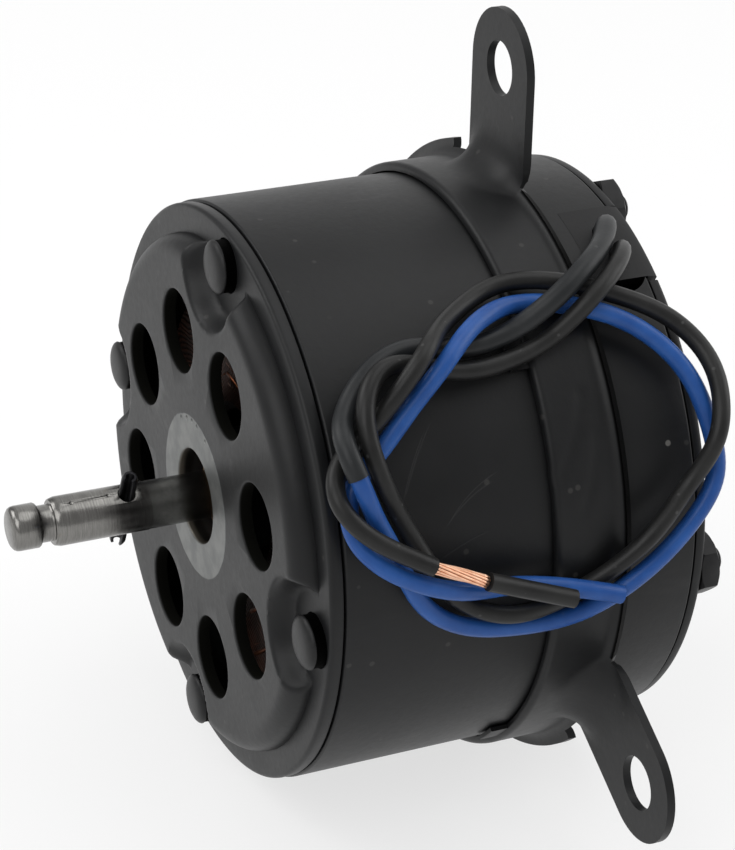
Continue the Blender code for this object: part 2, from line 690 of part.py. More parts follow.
def make_magnets(ferrite):
    outer = can_inner() - GAP
    inner = CORE_R + AIR_GAP
    pitch = 360.0 / BOLT_COUNT
    for i, angle in enumerate(spread(BOLT_COUNT, BOLT_FIRST + pitch / 2)):
        ring_sector("magnet_%d" % (i + 1), inner, outer - 0.1, MAGNET_FRONT, MAGNET_REAR,
                    angle - MAGNET_ANGLE / 2, angle + MAGNET_ANGLE / 2, ferrite, 16)


def make_brush_gear(card_mat, brass, carbon, spring_mat):
    outer = can_inner() - PILOT_WALL - 3 * GAP
    back = CARD_FRONT + CARD_T
    card = lathe("brush_card", [(CARD_IN_R, CARD_FRONT), (outer, CARD_FRONT), (outer, back),
                                (CARD_IN_R, back)], card_mat, 40)
    for angle in bolt_places():
        hole = rod("hole", BOLT_R + GAP + SLIP, CARD_FRONT - 1, back + 1, segments=20)
        cut(card, place(hole, angle, BOLT_CIRCLE_R))
    y0 = back + GAP
    y1 = y0 + BRUSH_H + 2 * (GAP + HOLDER_WALL)
    half = BRUSH_W / 2 + GAP
    for i, angle in enumerate(BRUSH_ANGLES):
        tail = "_%d" % (i + 1)
        box = block("brush_holder" + tail, (-half - HOLDER_WALL, half + HOLDER_WALL), (y0, y1),
                    (HOLDER_IN_R, HOLDER_OUT_R), brass)
        room = block("room", (-half, half), (y0 + HOLDER_WALL, y1 - HOLDER_WALL),
                     (HOLDER_IN_R - 1, HOLDER_OUT_R - HOLDER_WALL))
        place(cut(box, room), angle)
        low = COMM_R + GAP
        b0 = y0 + HOLDER_WALL + GAP
        brush = block("brush" + tail, (-BRUSH_W / 2, BRUSH_W / 2), (b0, b0 + BRUSH_H),
                      (low, low + BRUSH_LENGTH), carbon)
        place(brush, angle)
        make_spring("brush_spring" + tail, angle, b0 + BRUSH_H / 2, low + BRUSH_LENGTH + GAP,
                    HOLDER_OUT_R - HOLDER_WALL - GAP, spring_mat)


def make_spring(name, angle, y, z0, z1, mat):
    """A compression spring along the radius."""
    wire = 0.25
    radius = BRUSH_H / 2 - wire - 0.3
    turns = 3.5
    steps = int(turns * 9)
    sides = 5
    verts = []
    for i in range(steps + 1):
        t = 2 * math.pi * turns * i / steps
        z = z0 + wire + (z1 - z0 - 2 * wire) * i / steps
        for k in range(sides):
            a = 2 * math.pi * k / sides
            r = radius + wire * math.cos(a)
            verts.append((r * math.cos(t), y + r * math.sin(t), z + wire * math.sin(a)))
    faces = [list(range(sides)), [steps * sides + k for k in range(sides)]]
    for i in range(steps):
        for k in range(sides):
            m = (k + 1) % sides
            faces.append([i * sides + k, i * sides + m, (i + 1) * sides + m, (i + 1) * sides + k])
    return place(finish(name, verts, faces, mat, 60), angle)


def as_mesh(curve):
    graph = bpy.context.evaluated_depsgraph_get()
    mesh = bpy.data.meshes.new_from_object(curve.evaluated_get(graph))
    bpy.data.objects.remove(curve, do_unlink=True)
    obj = bpy.data.objects.new("solid", mesh)
    bpy.context.scene.collection.objects.link(obj)
    return obj


def tube(name, points, radius, mat=None):
    """A cord as a curve with closed ends."""
    curve = bpy.data.curves.new(name, "CURVE")
    curve.dimensions = "3D"
    curve.bevel_depth = radius * MM
    curve.bevel_resolution = 2
    curve.use_fill_caps = True
    spline = curve.splines.new("POLY")
    spline.points.add(len(points) - 1)
    for spot, point in zip(spline.points, points):
        spot.co = (*(Vector(point) * MM), 1.0)
    if mat is not None:
        curve.materials.append(mat)
    obj = bpy.data.objects.new(name, curve)
    bpy.context.scene.collection.objects.link(obj)
    return obj


def shorten(points, front, back):
    """Takes a length off each end of a route."""
    points = [Vector(p) for p in points]
    for distance in (front, back):
        if distance > 0:
            step = points[1] - points[0]
            points[0] = points[0] + step.normalized() * distance
        points.reverse()
    return points


def make_leads(black, blue, sleeve, copper):
    before, after = BLUE_ROUTE[:SLEEVE_POINTS], BLUE_ROUTE[SLEEVE_POINTS:]
    end = Vector(before[-1]).lerp(Vector(after[0]), SLEEVE_SHARE)
    tube("blue_lead_sleeve", [*before, end], SLEEVE_R, sleeve)
    tube("blue_lead", shorten([end, *after], LEAD_GAP, 0), LEAD_R, blue)
    bare = len(BLACK_ROUTE) - 2
    tube("black_lead", BLACK_ROUTE[:bare], LEAD_R, black)
    tube("copper_end", shorten(BLACK_ROUTE[bare - 1:bare + 1], LEAD_GAP, 0), STRAND_R, copper)
    tube("lead_offcut", shorten(BLACK_ROUTE[bare:], LEAD_GAP, 0), LEAD_R, black)


def main():
    clear_scene()
    black = paint("black_paint", (0.035, 0.036, 0.04), 0.45)
    steel = paint("shaft_steel", (0.55, 0.55, 0.55), 0.3, 1.0)
    plated = paint("black_bolt_steel", (0.05, 0.05, 0.055), 0.5, 0.6)
    rubber = paint("grommet_rubber", (0.03, 0.03, 0.03), 0.7)
    make_can(black)
    make_front_cap(black)
    make_rear_cap(black)
    make_bracket(black)
    make_bolts(plated)
    make_grommet(rubber)
    make_magnets(paint("ferrite", (0.09, 0.09, 0.1), 0.7))
    make_brush_gear(paint("card_board", (0.35, 0.2, 0.1), 0.6),
                    paint("brass", (0.7, 0.5, 0.2), 0.35, 1.0),
                    paint("carbon", (0.04, 0.04, 0.045), 0.5),
                    paint("spring_steel", (0.5, 0.5, 0.5), 0.35, 1.0))
    copper = paint("copper", (0.72, 0.33, 0.18), 0.4, 1.0)
    rotor = [make_shaft(steel), make_pin(paint("pin_oxide", (0.02, 0.02, 0.02), 0.5, 0.6)),
             make_core(paint("core_iron", (0.2, 0.2, 0.21), 0.5, 0.9)), make_windings(copper),
             make_commutator(copper)]
    make_bearings(paint("bronze", (0.45, 0.3, 0.15), 0.5, 0.9), steel, paint("nylon", (0.7, 0.68, 0.6), 0.5))
    axis = bpy.data.objects.new("rotor_axis", None)
    bpy.context.scene.collection.objects.link(axis)
    rotor += [bpy.data.objects["front_washer"], bpy.data.objects["rear_washer"]]
    for obj in rotor:
        obj.parent = axis
    make_leads(paint("black_insulation", (0.035, 0.035, 0.035), 0.45),
               paint("blue_insulation", (0.04, 0.12, 0.42), 0.4),
               paint("sleeve_black", (0.045, 0.045, 0.05), 0.5), copper)


main()
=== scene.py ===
"""Radiator fan motor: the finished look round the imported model.

The shaft lies along Y and points to -Y. The first bracket ear points to +Z.
Angles turn about the shaft from +Z towards +X. Sizes are in millimetres, and
MM makes metres of them where a piece is made.
"""
import math
import random

import bmesh
import bpy
import numpy as np
from mathutils import Matrix, Vector


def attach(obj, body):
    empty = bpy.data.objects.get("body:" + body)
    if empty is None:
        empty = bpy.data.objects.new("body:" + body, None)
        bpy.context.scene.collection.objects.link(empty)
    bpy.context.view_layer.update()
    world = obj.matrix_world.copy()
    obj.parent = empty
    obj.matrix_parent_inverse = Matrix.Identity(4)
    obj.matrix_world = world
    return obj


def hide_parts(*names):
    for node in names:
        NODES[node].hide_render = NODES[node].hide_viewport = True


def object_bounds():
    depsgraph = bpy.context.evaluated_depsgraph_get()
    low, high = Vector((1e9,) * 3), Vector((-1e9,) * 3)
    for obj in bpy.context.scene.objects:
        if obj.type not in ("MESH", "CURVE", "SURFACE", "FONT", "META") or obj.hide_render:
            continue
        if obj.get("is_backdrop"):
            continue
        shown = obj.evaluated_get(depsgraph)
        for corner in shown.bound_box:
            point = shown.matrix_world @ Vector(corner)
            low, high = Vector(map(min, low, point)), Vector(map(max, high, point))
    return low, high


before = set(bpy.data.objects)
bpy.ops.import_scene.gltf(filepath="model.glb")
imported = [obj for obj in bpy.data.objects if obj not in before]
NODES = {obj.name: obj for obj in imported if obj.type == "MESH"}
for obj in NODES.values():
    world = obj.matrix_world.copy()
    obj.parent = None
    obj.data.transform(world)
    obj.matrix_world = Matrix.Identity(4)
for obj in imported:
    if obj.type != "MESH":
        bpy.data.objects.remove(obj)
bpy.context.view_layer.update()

MM = 0.001

# Can and caps
CAN_R = 47.5
CAN_WALL = 1.5
CAN_FRONT = -45.8
CAN_REAR = 13.5
CAP_FRONT = -52.0
CAP_RIM_Y = -48.3
CAP_BACK = -46.1
CAP_SHEET = 2.2
CAP_RIM_R = 47.2
PLATEAU_R = 39.2
RIM_RING_R = 42.6
SEAT_R = 7.8
SEAT_OUT_R = 10.0
SEAT_END = -38.0
PILOT_R = 45.7
VENT_R = 6.87
VENT_CIRCLE_R = 27.2
VENT_PITCH = 45.0
VENT_ANGLES = [-15.5 + VENT_PITCH * k for k in range(8)]
BARE_RING_R = 13.65
RING_PITS = ((13.0, -27.6), (13.0, -15.6), (13.05, -5.0), (12.95, 4.7), (12.8, 21.7))

# Scratches on the can, from and to as (angle, y), the width and how far it sags; a nick has its size
CAN_SCRATCHES = (
    ((75.4, -29.4), (68.0, -20.4), 0.16, 0.8), ((74.6, -28.8), (66.4, -19.4), 0.12, 0.9),
    ((55.4, -28.8), (68.6, -35.3), 0.14, -0.5), ((56.9, -30.2), (69.4, -35.7), 0.10, -0.5),
    ((80.8, -30.5), (77.0, -22.0), 0.14, 0.3),
)
CAN_NICKS = ((67.2, 9.4, 0.55),)

# Bolts
BOLT_ANGLES = [7.0 + 90.0 * k for k in range(4)]
BOLT_CIRCLE_R = 42.0
BOLT_R = 2.4
BOLT_END = 21.1
HEAD_R = 4.3
HEAD_H = 2.1
POCKET_R = 9.3
POCKET_SOFT = 2.5
POCKET_SOFT_IN = 1.3
PRESSED_IN_R = 28.0
PRESSED_OUT_R = 44.0
NUT_FLATS = 9.5
NUT_FRONT = 15.9
NUT_REAR = 19.1

# Strap bracket
STRAP_IN_R = 47.8
STRAP_SHEET = 1.4
STRAP_OUT_R = STRAP_IN_R + STRAP_SHEET
STRAP_FRONT = -11.65
BEND_R = 2.1
BEND_OUT_R = STRAP_OUT_R + BEND_R
TRIM_ANGLE = 62.0
TRIM_MIDDLE = 60.0
TRIM_REACH = 48.3
FLANGE_R = 51.8
EAR_BEND_R = 7.4
EAR_W = 19.3
EAR_HOLE_R = 4.45
EAR_HOLE_CIRCLE_R = 66.3
EAR_ANGLES = (0.0, 120.0, 240.0)
EAR_ROWS = 12
NOTCH = 6.6
TAB_ANGLES = (46.0, 136.0, 226.0, 316.0)
TAB_HALF = 3.25
TAB_SHEET = 0.7
TAB_FRONT = -14.65
TAB_ROOT = -11.1
STRAP_DEGREE = 0.859  # millimetres along the strap in one degree

# Dents in the strap: a path of (angle, y), the depth and the width
DENTS = (
    (((55.5, -4.6), (58.5, -5.4), (62.0, -6.6), (66.0, -8.4), (69.5, -10.4)), 0.16, 0.8),
    (((63.0, -3.2), (67.0, -4.0), (71.0, -5.0), (76.5, -6.8)), 0.20, 0.7),
)

# Rotor
SHEET_PITCH = 0.65
CORE_FRONT = -33.5
CORE_SLOTS = 12
SLOT_PITCH = 30.0
COIL_SPAN = 3.0
COIL_IN_R = 14.6
COIL_FIRST_R = 19.0
COIL_ROW = 1.95
COIL_TOP = -42.6
COIL_LAYER = 1.1
COIL_STEPS = 16
SHAFT_R = 4.0
GROUND_END = -60.55
PIN_Y = -64.2
PIN_R = 1.33
PIN_ANGLE = 26.0
PIN_HALF = 8.4
PIN_SHEET = 0.55
PIN_SLOT = 40.0

# Lead exit
EXIT_ANGLE = 25.5
EXIT_GAP_ANGLE = 32.1
HOOD_W = 15.8
HOOD_FRONT = 4.7
HOOD_IN_R = 44.2
HOOD_END = 15.6

# Leads and floor
LEAD_R = 1.45
SLEEVE_R = 1.65
SLEEVE_KNOTS = 12
SLEEVE_SHARE = 0.85
LEAD_GAP = 0.4
LINE_STEPS = 8
STRAND_R = 0.2
STRAND_TWIST = 75.0
STRAND_STEPS = 10
FLOOR_GAP = 0.5

BLUE_ROUTE = (
    (14.7, 10.5, 36.1), (18.2, 10.1, 43.1), (22.1, 8.5, 46.6), (27.2, 5.2, 46.6),
    (32.5, 0.2, 45.8), (35.6, -6.2, 42.8), (35.4, -13.7, 37.9), (35.8, -22.6, 36.4),
    (35, -31.5, 37.1), (37, -38.7, 35.2), (40.8, -43.7, 31.5), (45.9, -45.9, 29.3),
    (49.5, -44.9, 24.4), (49.5, -42.3, 18), (49.9, -38.7, 10.5), (50.3, -35.1, 3.2),
    (50.2, -28.3, -2.3), (50.2, -18.7, -4.5), (50.6, -8.5, -4.1), (52, 1.2, 1.2),
    (50.2, 11.1, 8.1), (48.9, 15.2, 14.3), (46.2, 15.2, 21.3), (41.8, 12.7, 29.3),
    (37.6, 7.6, 34.8), (34.5, -1.7, 39.1), (31.6, -10, 40), (33.9, -16.5, 40.7),
    (38, -23, 39.8), (41.9, -28.9, 36.7), (42.1, -33.6, 31.4), (43.9, -39.7, 25.7),
    (46.3, -44.9, 21.1), (48.5, -45.5, 15.8), (52.1, -42.2, 11.4), (53.8, -36.7, 8.3),
    (53.4, -29.2, 5.4), (51.3, -20.4, 3.4), (53.5, -11.7, 2.4), (54.5, -3.4, 0),
)
BLACK_ROUTE = (
    (18.4, 11.2, 34.4), (22.4, 10.8, 41.3), (26.6, 9, 44.2), (32.6, 4.9, 44.7),
    (37.1, -1.5, 42.1), (36.7, -7.6, 36.6), (37.9, -15.8, 34.1), (38.6, -25.1, 34.2),
    (38.8, -32, 36.5), (40, -37.6, 37), (43.1, -41.4, 34), (46.6, -42.2, 28.7),
    (48.4, -40.8, 23.2), (48.5, -37.5, 16), (50.2, -33.2, 7.9), (50.5, -28.7, 2.2),
    (52, -22, -0.8), (51.2, -13.4, -1.1), (50.7, -6.4, 0.8), (52.3, 3, 8.4),
    (49.8, 10.3, 14.4), (50.1, 14.1, 21.1), (46.9, 16.2, 26.6), (41.3, 16.4, 31.4),
    (36.4, 12.7, 35.8), (33.6, 4.7, 39.8), (30.5, -4.9, 42.4), (28.5, -13.3, 42.3),
    (31.2, -20.7, 41), (37, -27.4, 40.3), (42.1, -32.2, 39), (43, -36, 34.8),
    (42.4, -40.9, 28.9), (44.6, -46.2, 25.1), (48.7, -48, 21.7), (51.7, -45.3, 17.6),
    (54.3, -38.5, 13.2), (55, -35.4, 11.5), (55.5, -27, 7.7), (56.6, -12.6, 2.3),
)


def polar(radius, angle, y=0.0):
    """A point in metres from a radius, an angle and a place along the shaft."""
    a = math.radians(angle)
    return Vector((radius * math.sin(a), y, radius * math.cos(a))) * MM


# ---- camera ----

def add_camera():
    """The photograph's view, found from the rings of the cap and the can."""
    data = bpy.data.cameras.new("camera")
    data.lens = 113.478
    data.sensor_fit = "VERTICAL"
    data.sensor_height = 36.0
    data.clip_start = 0.01
    camera = bpy.data.objects.new("camera", data)
    right = Vector((0.4045, 0.9144, 0.0186))
    up = Vector((-0.4048, 0.1607, 0.9002))
    back = Vector((0.8201, -0.3717, 0.4351))
    turn = Matrix((right, up, back)).transposed().to_4x4()
    camera.matrix_world = Matrix.Translation((0.36234, -0.18581, 0.19956)) @ turn
    bpy.context.scene.collection.objects.link(camera)
    bpy.context.scene.camera = camera


# ---- finishes ----

class Wire:
    """One value of a node tree. Sums on it add Math nodes."""

    def __init__(self, nodes, socket):
        self.nodes = nodes
        self.socket = socket

    def on(self, operation, *others):
        """A Math node on this value and the others."""
        return self.nodes.math(operation, self, *others)

    def __add__(self, other):
        return self.on("ADD", other)

    __radd__ = __add__

    def __sub__(self, other):
        return self.on("SUBTRACT", other)

    def __rsub__(self, other):
        return self.nodes.math("SUBTRACT", other, self)

    def __mul__(self, other):
        return self.on("MULTIPLY", other)

    __rmul__ = __mul__

    def __truediv__(self, other):
        return self.on("DIVIDE", other)

    def __rtruediv__(self, other):
        return self.nodes.math("DIVIDE", other, self)

    def __pow__(self, other):
        return self.on("POWER", other)

    def __rpow__(self, other):
        return self.nodes.math("POWER", other, self)

    def __abs__(self):
        return self.on("ABSOLUTE")

    def most(self, other):
        return self.on("MAXIMUM", other)


class Nodes:
    """Adds the nodes of one tree and links them."""

    def __init__(self, tree):
        self.tree = tree

    def add(self, kind, inputs=None, settings=None, output=0):
        """A node of a kind: its settings first, then what its sockets get."""
        node = self.tree.nodes.new("ShaderNode" + kind)
        for key, value in (settings or {}).items():
            setattr(node, key, value)
        for key, value in (inputs or {}).items():
            self.feed(node.inputs[key], value)
        return Wire(self, node.outputs[output])

    def feed(self, socket, value):
        if isinstance(value, Wire):
            self.tree.links.new(value.socket, socket)
        else:
            socket.default_value = value

    def math(self, operation, *values):
        return self.add("Math", dict(enumerate(values)), {"operation": operation})


class Finish(Nodes):
    """A material: its fixed values on the shader's own sockets, and what varies as nodes."""

    def __init__(self, name, **fixed):
        self.mat = bpy.data.materials.new(name)
        self.mat.use_nodes = True
        super().__init__(self.mat.node_tree)
        self.shader = self.tree.nodes["Principled BSDF"]
        for key, value in fixed.items():
            self.shader.inputs[key.replace("_", " ")].default_value = value
        self.place = self.add("TexCoord", output="Object")

    def noise(self, size, detail=2.0, rough=0.5, stretch=None):
        """Noise whose grains are about size millimetres across."""
        place = self.place
        if stretch:
            place = self.add("Mapping", {"Vector": place, "Scale": stretch})
        values = {"Vector": place, "Scale": 1.0 / (size * MM), "Detail": detail, "Roughness": rough}
        return self.add("TexNoise", values)

    def specks(self, size, share=0.2):
        """Round specks on a share of the cells of the given size, 1 inside a speck."""
        values = {"Vector": self.place, "Scale": 1.0 / (size * MM)}
        near = self.add("TexVoronoi", values)
        chosen = self.add("TexVoronoi", values, output="Color")
        pick = self.add("SeparateColor", {"Color": chosen})
        return self.ramp(near, 0.22, 0.12) * self.ramp(pick, 1.0 - share, 1.0 - share + 0.01)

    def ramp(self, value, low, high):
        """0 at low, 1 at high, soft in between."""
        return self.add("MapRange", {"Value": value, "From Min": low, "From Max": high},
                        {"interpolation_type": "SMOOTHSTEP"})

    def band(self, value, centre, half, soft):
        """1 within half of the centre, and soft outside it."""
        return self.ramp(abs(value - centre), half + soft, half)

    def mix(self, factor, a, b):
        return self.add("Mix", {0: factor, 6: full(a), 7: full(b)}, {"data_type": "RGBA"}, output=2)

    def tones(self, value, low, high):
        """Two colours mixed by a noise."""
        return self.mix(self.ramp(value, 0.3, 0.7), low, high)

    def axes(self):
        """Radius and place along the shaft in millimetres, and the angle in degrees."""
        x, y, z = (self.add("SeparateXYZ", {0: self.place}, output=k) * 1000.0 for k in range(3))
        return (x * x + z * z).on("SQRT"), y, x.on("ARCTAN2", z) * (180.0 / math.pi)

    def finish(self, color, rough, metal=None, relief=None, depth=0.1):
        """Feeds the shader. relief is a height in millimetres when depth is 1."""
        self.feed(self.shader.inputs["Base Color"], full(color))
        self.feed(self.shader.inputs["Roughness"], rough)
        if metal is not None:
            self.feed(self.shader.inputs["Metallic"], metal)
        if relief is not None:
            bump = self.add("Bump", {"Height": relief, "Strength": 1.0, "Distance": depth * MM})
            self.feed(self.shader.inputs["Normal"], bump)
        return self.mat


def full(color):
    """A colour with its alpha, or the wire that carries one."""
    return color if isinstance(color, Wire) else (*color, 1.0)


def scratch(f, angle, y, start, end, width, sag):
    """A line on the can from one (angle, y) to another, 1 on the line."""
    degree = math.radians(CAN_R)
    along = ((end[0] - start[0]) * degree, end[1] - start[1])
    length = math.hypot(*along)
    across = (-along[1] / length, along[0] / length)
    u = (angle - start[0]) * degree
    v = y - start[1]
    t = (u * along[0] + v * along[1]) / (length * length)
    side = u * across[0] + v * across[1] - t * (1.0 - t) * (4.0 * sag)
    ends = f.ramp(t, -0.02, 0.15) * f.ramp(t, 1.02, 0.85)
    return f.ramp(abs(side), width, width * 0.25) * ends


def black_paint(name, marks=(), spots=(), bare=None):
    """Satin black paint over steel, with orange peel, dust, rubs and the marks given."""
    f = Finish(name, IOR=1.5, Specular_IOR_Level=0.25)
    radius, y, angle = f.axes()
    broad = f.noise(22.0, 3.0, 0.6)
    grain = f.noise(1.1, 3.0, 0.6)
    color = f.tones(broad, (0.0048, 0.0050, 0.0055), (0.0080, 0.0083, 0.0088))
    rough = 0.43 + (broad - 0.5) * 0.16 + (grain - 0.5) * 0.10
    rubs = f.noise(9.0, 4.0, 0.7, stretch=(1.0, 0.25, 1.0))
    rubbed = f.ramp(rubs, 0.60, 0.75)
    color = f.mix(rubbed * 0.35, color, (0.018, 0.018, 0.019))
    rough = rough - rubbed * 0.06
    dust = f.specks(2.6, 0.06)
    color = f.mix(dust * 0.4, color, (0.055, 0.053, 0.050))
    relief = (f.noise(1.5, 2.0, 0.5) - 0.5) * 0.05 + (f.noise(0.35, 2.0) - 0.5) * 0.02
    for mark in marks:
        line = scratch(f, angle, y, *mark)
        color = f.mix(line * 0.22, color, (0.045, 0.045, 0.045))
        rough = rough - line * 0.05
        relief = relief - line * 0.05
    for spot_angle, spot_y, size in spots:
        away = ((angle - spot_angle) * math.radians(CAN_R)) ** 2.0 + (y - spot_y) ** 2.0
        nick = f.ramp(away, size * size, size * size * 0.4)
        color = f.mix(nick * 0.7, color, (0.16, 0.155, 0.145))
    metal = None
    # bare may add bare metal and painted shade, near black in holes or at the strap's cut edge.
    if bare:
        color, rough, metal = bare(f, radius, y, angle, color, rough)
    return f.finish(color, rough, metal, relief, 0.5)


def bare_ring_and_hole_shade(f, radius, y, angle, color, rough):
    """The masked ring round the bearing hole, with painted shade: the bore's wall goes near black deeper in,
    and the walls of the vents are painted near black for the shade inside them.
    """
    edge = radius + (f.noise(2.2, 3.0) - 0.5) * 0.35
    inside = f.ramp(edge, BARE_RING_R + 0.15, BARE_RING_R - 0.15)
    ring = inside * f.ramp(y, CAP_FRONT + 3.0, CAP_FRONT + 2.0)
    fine = f.noise(0.5, 2.0, 0.5, stretch=(1.0, 1.0, 1.0))
    steel = f.tones(f.noise(3.0, 3.0), (0.125, 0.130, 0.128), (0.180, 0.184, 0.178))
    steel = f.mix(f.ramp(fine, 0.62, 0.8) * 0.4, steel, (0.10, 0.10, 0.10))
    # Painted shade: the bore's wall is painted darker deeper in, near black at the bottom, for the shade
    # inside the hole.
    wall = f.ramp(radius, SEAT_R + 0.25, SEAT_R + 0.02)
    bore_shade = f.ramp(y, CAP_FRONT + 0.5, CAP_FRONT + 1.4)
    steel = f.mix(wall, steel, f.mix(bore_shade, (0.09, 0.08, 0.065), (0.008, 0.007, 0.006)))
    color = f.mix(ring, color, steel)
    # Painted shade: the walls of the vents are painted near black, with more roughness, for the shade inside
    # the holes.
    step = (angle + (360.0 - VENT_ANGLES[0])) / VENT_PITCH + 0.5
    off = (step.on("FRACT") - 0.5) * math.radians(VENT_PITCH)
    across = radius * off.on("SINE")
    out = radius * off.on("COSINE") - VENT_CIRCLE_R
    hole = f.ramp(across * across + out * out, (VENT_R + 0.35) ** 2, (VENT_R + 0.15) ** 2)
    hole = hole * f.ramp(y, CAP_FRONT + 0.12, CAP_FRONT + 0.45)
    color = f.mix(hole, color, (0.009, 0.009, 0.0075))
    rough = rough + ring * (0.44 - rough) + hole * 0.4
    return color, rough, (ring * 0.75).most(hole)


def painted_shade_cut_edge(f, radius, y, angle, color, rough):
    """The cut end of the strap's bend between two ears and the bend's outer part next to it, painted near
    black: painted shade for the shadow in the slot behind the bend's lip.
    """
    # Painted shade: near black past 46 degrees round the bend and on its end face, with more roughness.
    a = math.radians(TRIM_ANGLE - 16.0)
    past = (y + BEND_R) * math.cos(a) - (BEND_OUT_R - radius) * math.sin(a)
    cut = f.ramp(past, -0.1, 0.4) * f.band(angle, TRIM_MIDDLE, TRIM_REACH, 0.3)
    return f.mix(cut, color, (0.003, 0.003, 0.003)), rough + cut * 0.3, cut


def ground_steel():
    """Bright ground steel in front, darker where the bearing runs, with fine turning lines."""
    f = Finish("ground_steel")
    radius, y, angle = f.axes()
    lines = f.add("TexNoise", {"Vector": f.add("CombineXYZ", {0: y, 1: radius * 0.2, 2: angle * 0.004}),
                               "Scale": 5.5, "Detail": 4.0, "Roughness": 0.7})
    ground = f.ramp(y + (f.noise(1.5) - 0.5) * 0.15, GROUND_END + 0.1, GROUND_END - 0.1)
    stain = f.noise(2.6, 4.0, 0.65)
    bright = f.tones(lines, (0.165, 0.161, 0.153), (0.235, 0.230, 0.219))
    dull = f.mix(f.ramp(stain, 0.35, 0.7), (0.21, 0.207, 0.200), (0.30, 0.296, 0.286))
    color = f.mix(ground, dull, bright)
    color = f.mix(f.ramp(stain, 0.62, 0.78) * 0.35, color, (0.20, 0.17, 0.13))
    rough = 0.25 + (lines - 0.5) * 0.10
    relief = (lines - 0.5) * 0.006
    return f.finish(color, rough, 1.0, relief, 1.0)


def dark_metal(name, low, high, rough, grain=0.8, metal=0.7, shaded_stretch=None):
    """Blackened or raw metal in a fine grain. The last argument, if given, is a stretch along the shaft
    painted near black as shade.
    """
    f = Finish(name, Specular_IOR_Level=0.25)
    tone = f.noise(grain, 4.0, 0.6)
    wide = f.noise(grain * 8.0, 3.0, 0.6)
    color = f.tones(tone * 0.5 + wide * 0.5, low, high)
    worn = f.ramp(wide, 0.66, 0.78)
    color = f.mix(worn * 0.3, color, tuple(c * 2.2 for c in high))
    relief = (tone - 0.5) * 0.03
    rough = rough + (tone - 0.5) * 0.15
    # Painted shade: the given stretch goes near black and rougher, for the shade under a bolt head's rim.
    if shaded_stretch:
        y = f.axes()[1]
        side = f.ramp(y, shaded_stretch[0], shaded_stretch[0] + 0.2) * f.ramp(y, shaded_stretch[1] + 0.2, shaded_stretch[1])
        color = f.mix(side, color, (0.002, 0.002, 0.002))
        rough = rough + side * 0.4
        metal = side.most(metal)
    return f.finish(color, rough, metal, relief, 0.5)


def insulation(name, low, high, rough=0.38, haze=0.25):
    """Soft plastic insulation with a faint skin, finger marks and dust."""
    f = Finish(name, IOR=1.46, Specular_IOR_Level=0.28)
    wide = f.noise(7.0, 3.0, 0.6)
    fine = f.noise(0.5, 3.0, 0.6)
    color = f.tones(wide, low, high)
    dust = f.specks(1.6, 0.16)
    color = f.mix(dust * haze, color, (0.12, 0.12, 0.12))
    rough = rough + (wide - 0.5) * 0.2 + (fine - 0.5) * 0.1
    relief = (f.noise(2.2, 2.0) - 0.5) * 0.06 + (fine - 0.5) * 0.015
    return f.finish(color, rough, None, relief, 0.5)


def copper_wire(name, low, high, rough, dark=0.4):
    """Copper in two tones with fine dark grains."""
    f = Finish(name)
    tone = f.noise(1.4, 4.0, 0.6)
    fine = f.noise(0.25, 2.0)
    color = f.tones(tone, low, high)
    color = f.mix(f.ramp(fine, 0.6, 0.75) * dark, color, tuple(c * 0.4 for c in low))
    return f.finish(color, rough + (fine - 0.5) * 0.2, 1.0, (fine - 0.5) * 0.03, 0.5)


def shaded_wound_copper():
    """Enamelled wire in close turns, brown on their backs, with painted shade: the colours are a darkened copy
    of the enamelled copper for the shade inside the motor, and the near black between the turns is painted
    crease shade.
    """
    f = Finish("shaded_wound_copper")
    radius, y, angle = f.axes()
    lay = (radius * 0.75 + angle * 0.33 + y * 0.6 + (f.noise(5.0) - 0.5) * 2.0) / 0.85
    back = f.band(lay.on("FRACT"), 0.5, 0.16, 0.28)
    # Painted shade: darkened copper tones, and near black between the turns.
    color = f.tones(f.noise(2.4, 3.0), (0.020, 0.007, 0.0035), (0.058, 0.020, 0.010))
    color = f.mix((1.0 - back) * 0.85, color, (0.006, 0.004, 0.003))
    return f.finish(color, 0.42, 0.8, back * 0.25, 1.0)


def plain_grain(name, low, high, rough, metal=0.0, grain=1.0):
    """Moulded, pressed or sintered material with a fine grain."""
    f = Finish(name, Specular_IOR_Level=0.3)
    tone = f.noise(grain, 4.0, 0.65)
    pits = f.specks(grain * 1.3, 0.3)
    color = f.tones(tone, low, high)
    color = f.mix(pits * 0.35, color, tuple(c * 0.4 for c in low))
    relief = (tone - 0.5) * 0.04 - pits * 0.03
    return f.finish(color, rough + (tone - 0.5) * 0.12, metal, relief, 0.6)


def steel_sheets():
    """Edges of the stamped sheets of the armature."""
    f = Finish("core_sheets")
    y = f.axes()[1]
    joint = f.band((y * (1.0 / SHEET_PITCH)).on("FRACT"), 0.5, 0.30, 0.14)
    tone = f.noise(2.0, 4.0, 0.6)
    color = f.tones(tone, (0.12, 0.12, 0.125), (0.24, 0.24, 0.245))
    color = f.mix((1.0 - joint) * 0.7, color, (0.04, 0.035, 0.03))
    return f.finish(color, 0.42 + (tone - 0.5) * 0.2, 0.85, joint * 0.05, 1.0)


# ---- tools for shaping ----

def only(obj):
    """Object mode with this object alone selected and active."""
    if bpy.context.mode != "OBJECT":
        bpy.ops.object.mode_set(mode="OBJECT")
    bpy.ops.object.select_all(action="DESELECT")
    if obj is not None:
        obj.select_set(True)
        bpy.context.view_layer.objects.active = obj


def edit(obj):
    """Edit mode on this object alone."""
    only(obj)
    bpy.ops.object.mode_set(mode="EDIT")


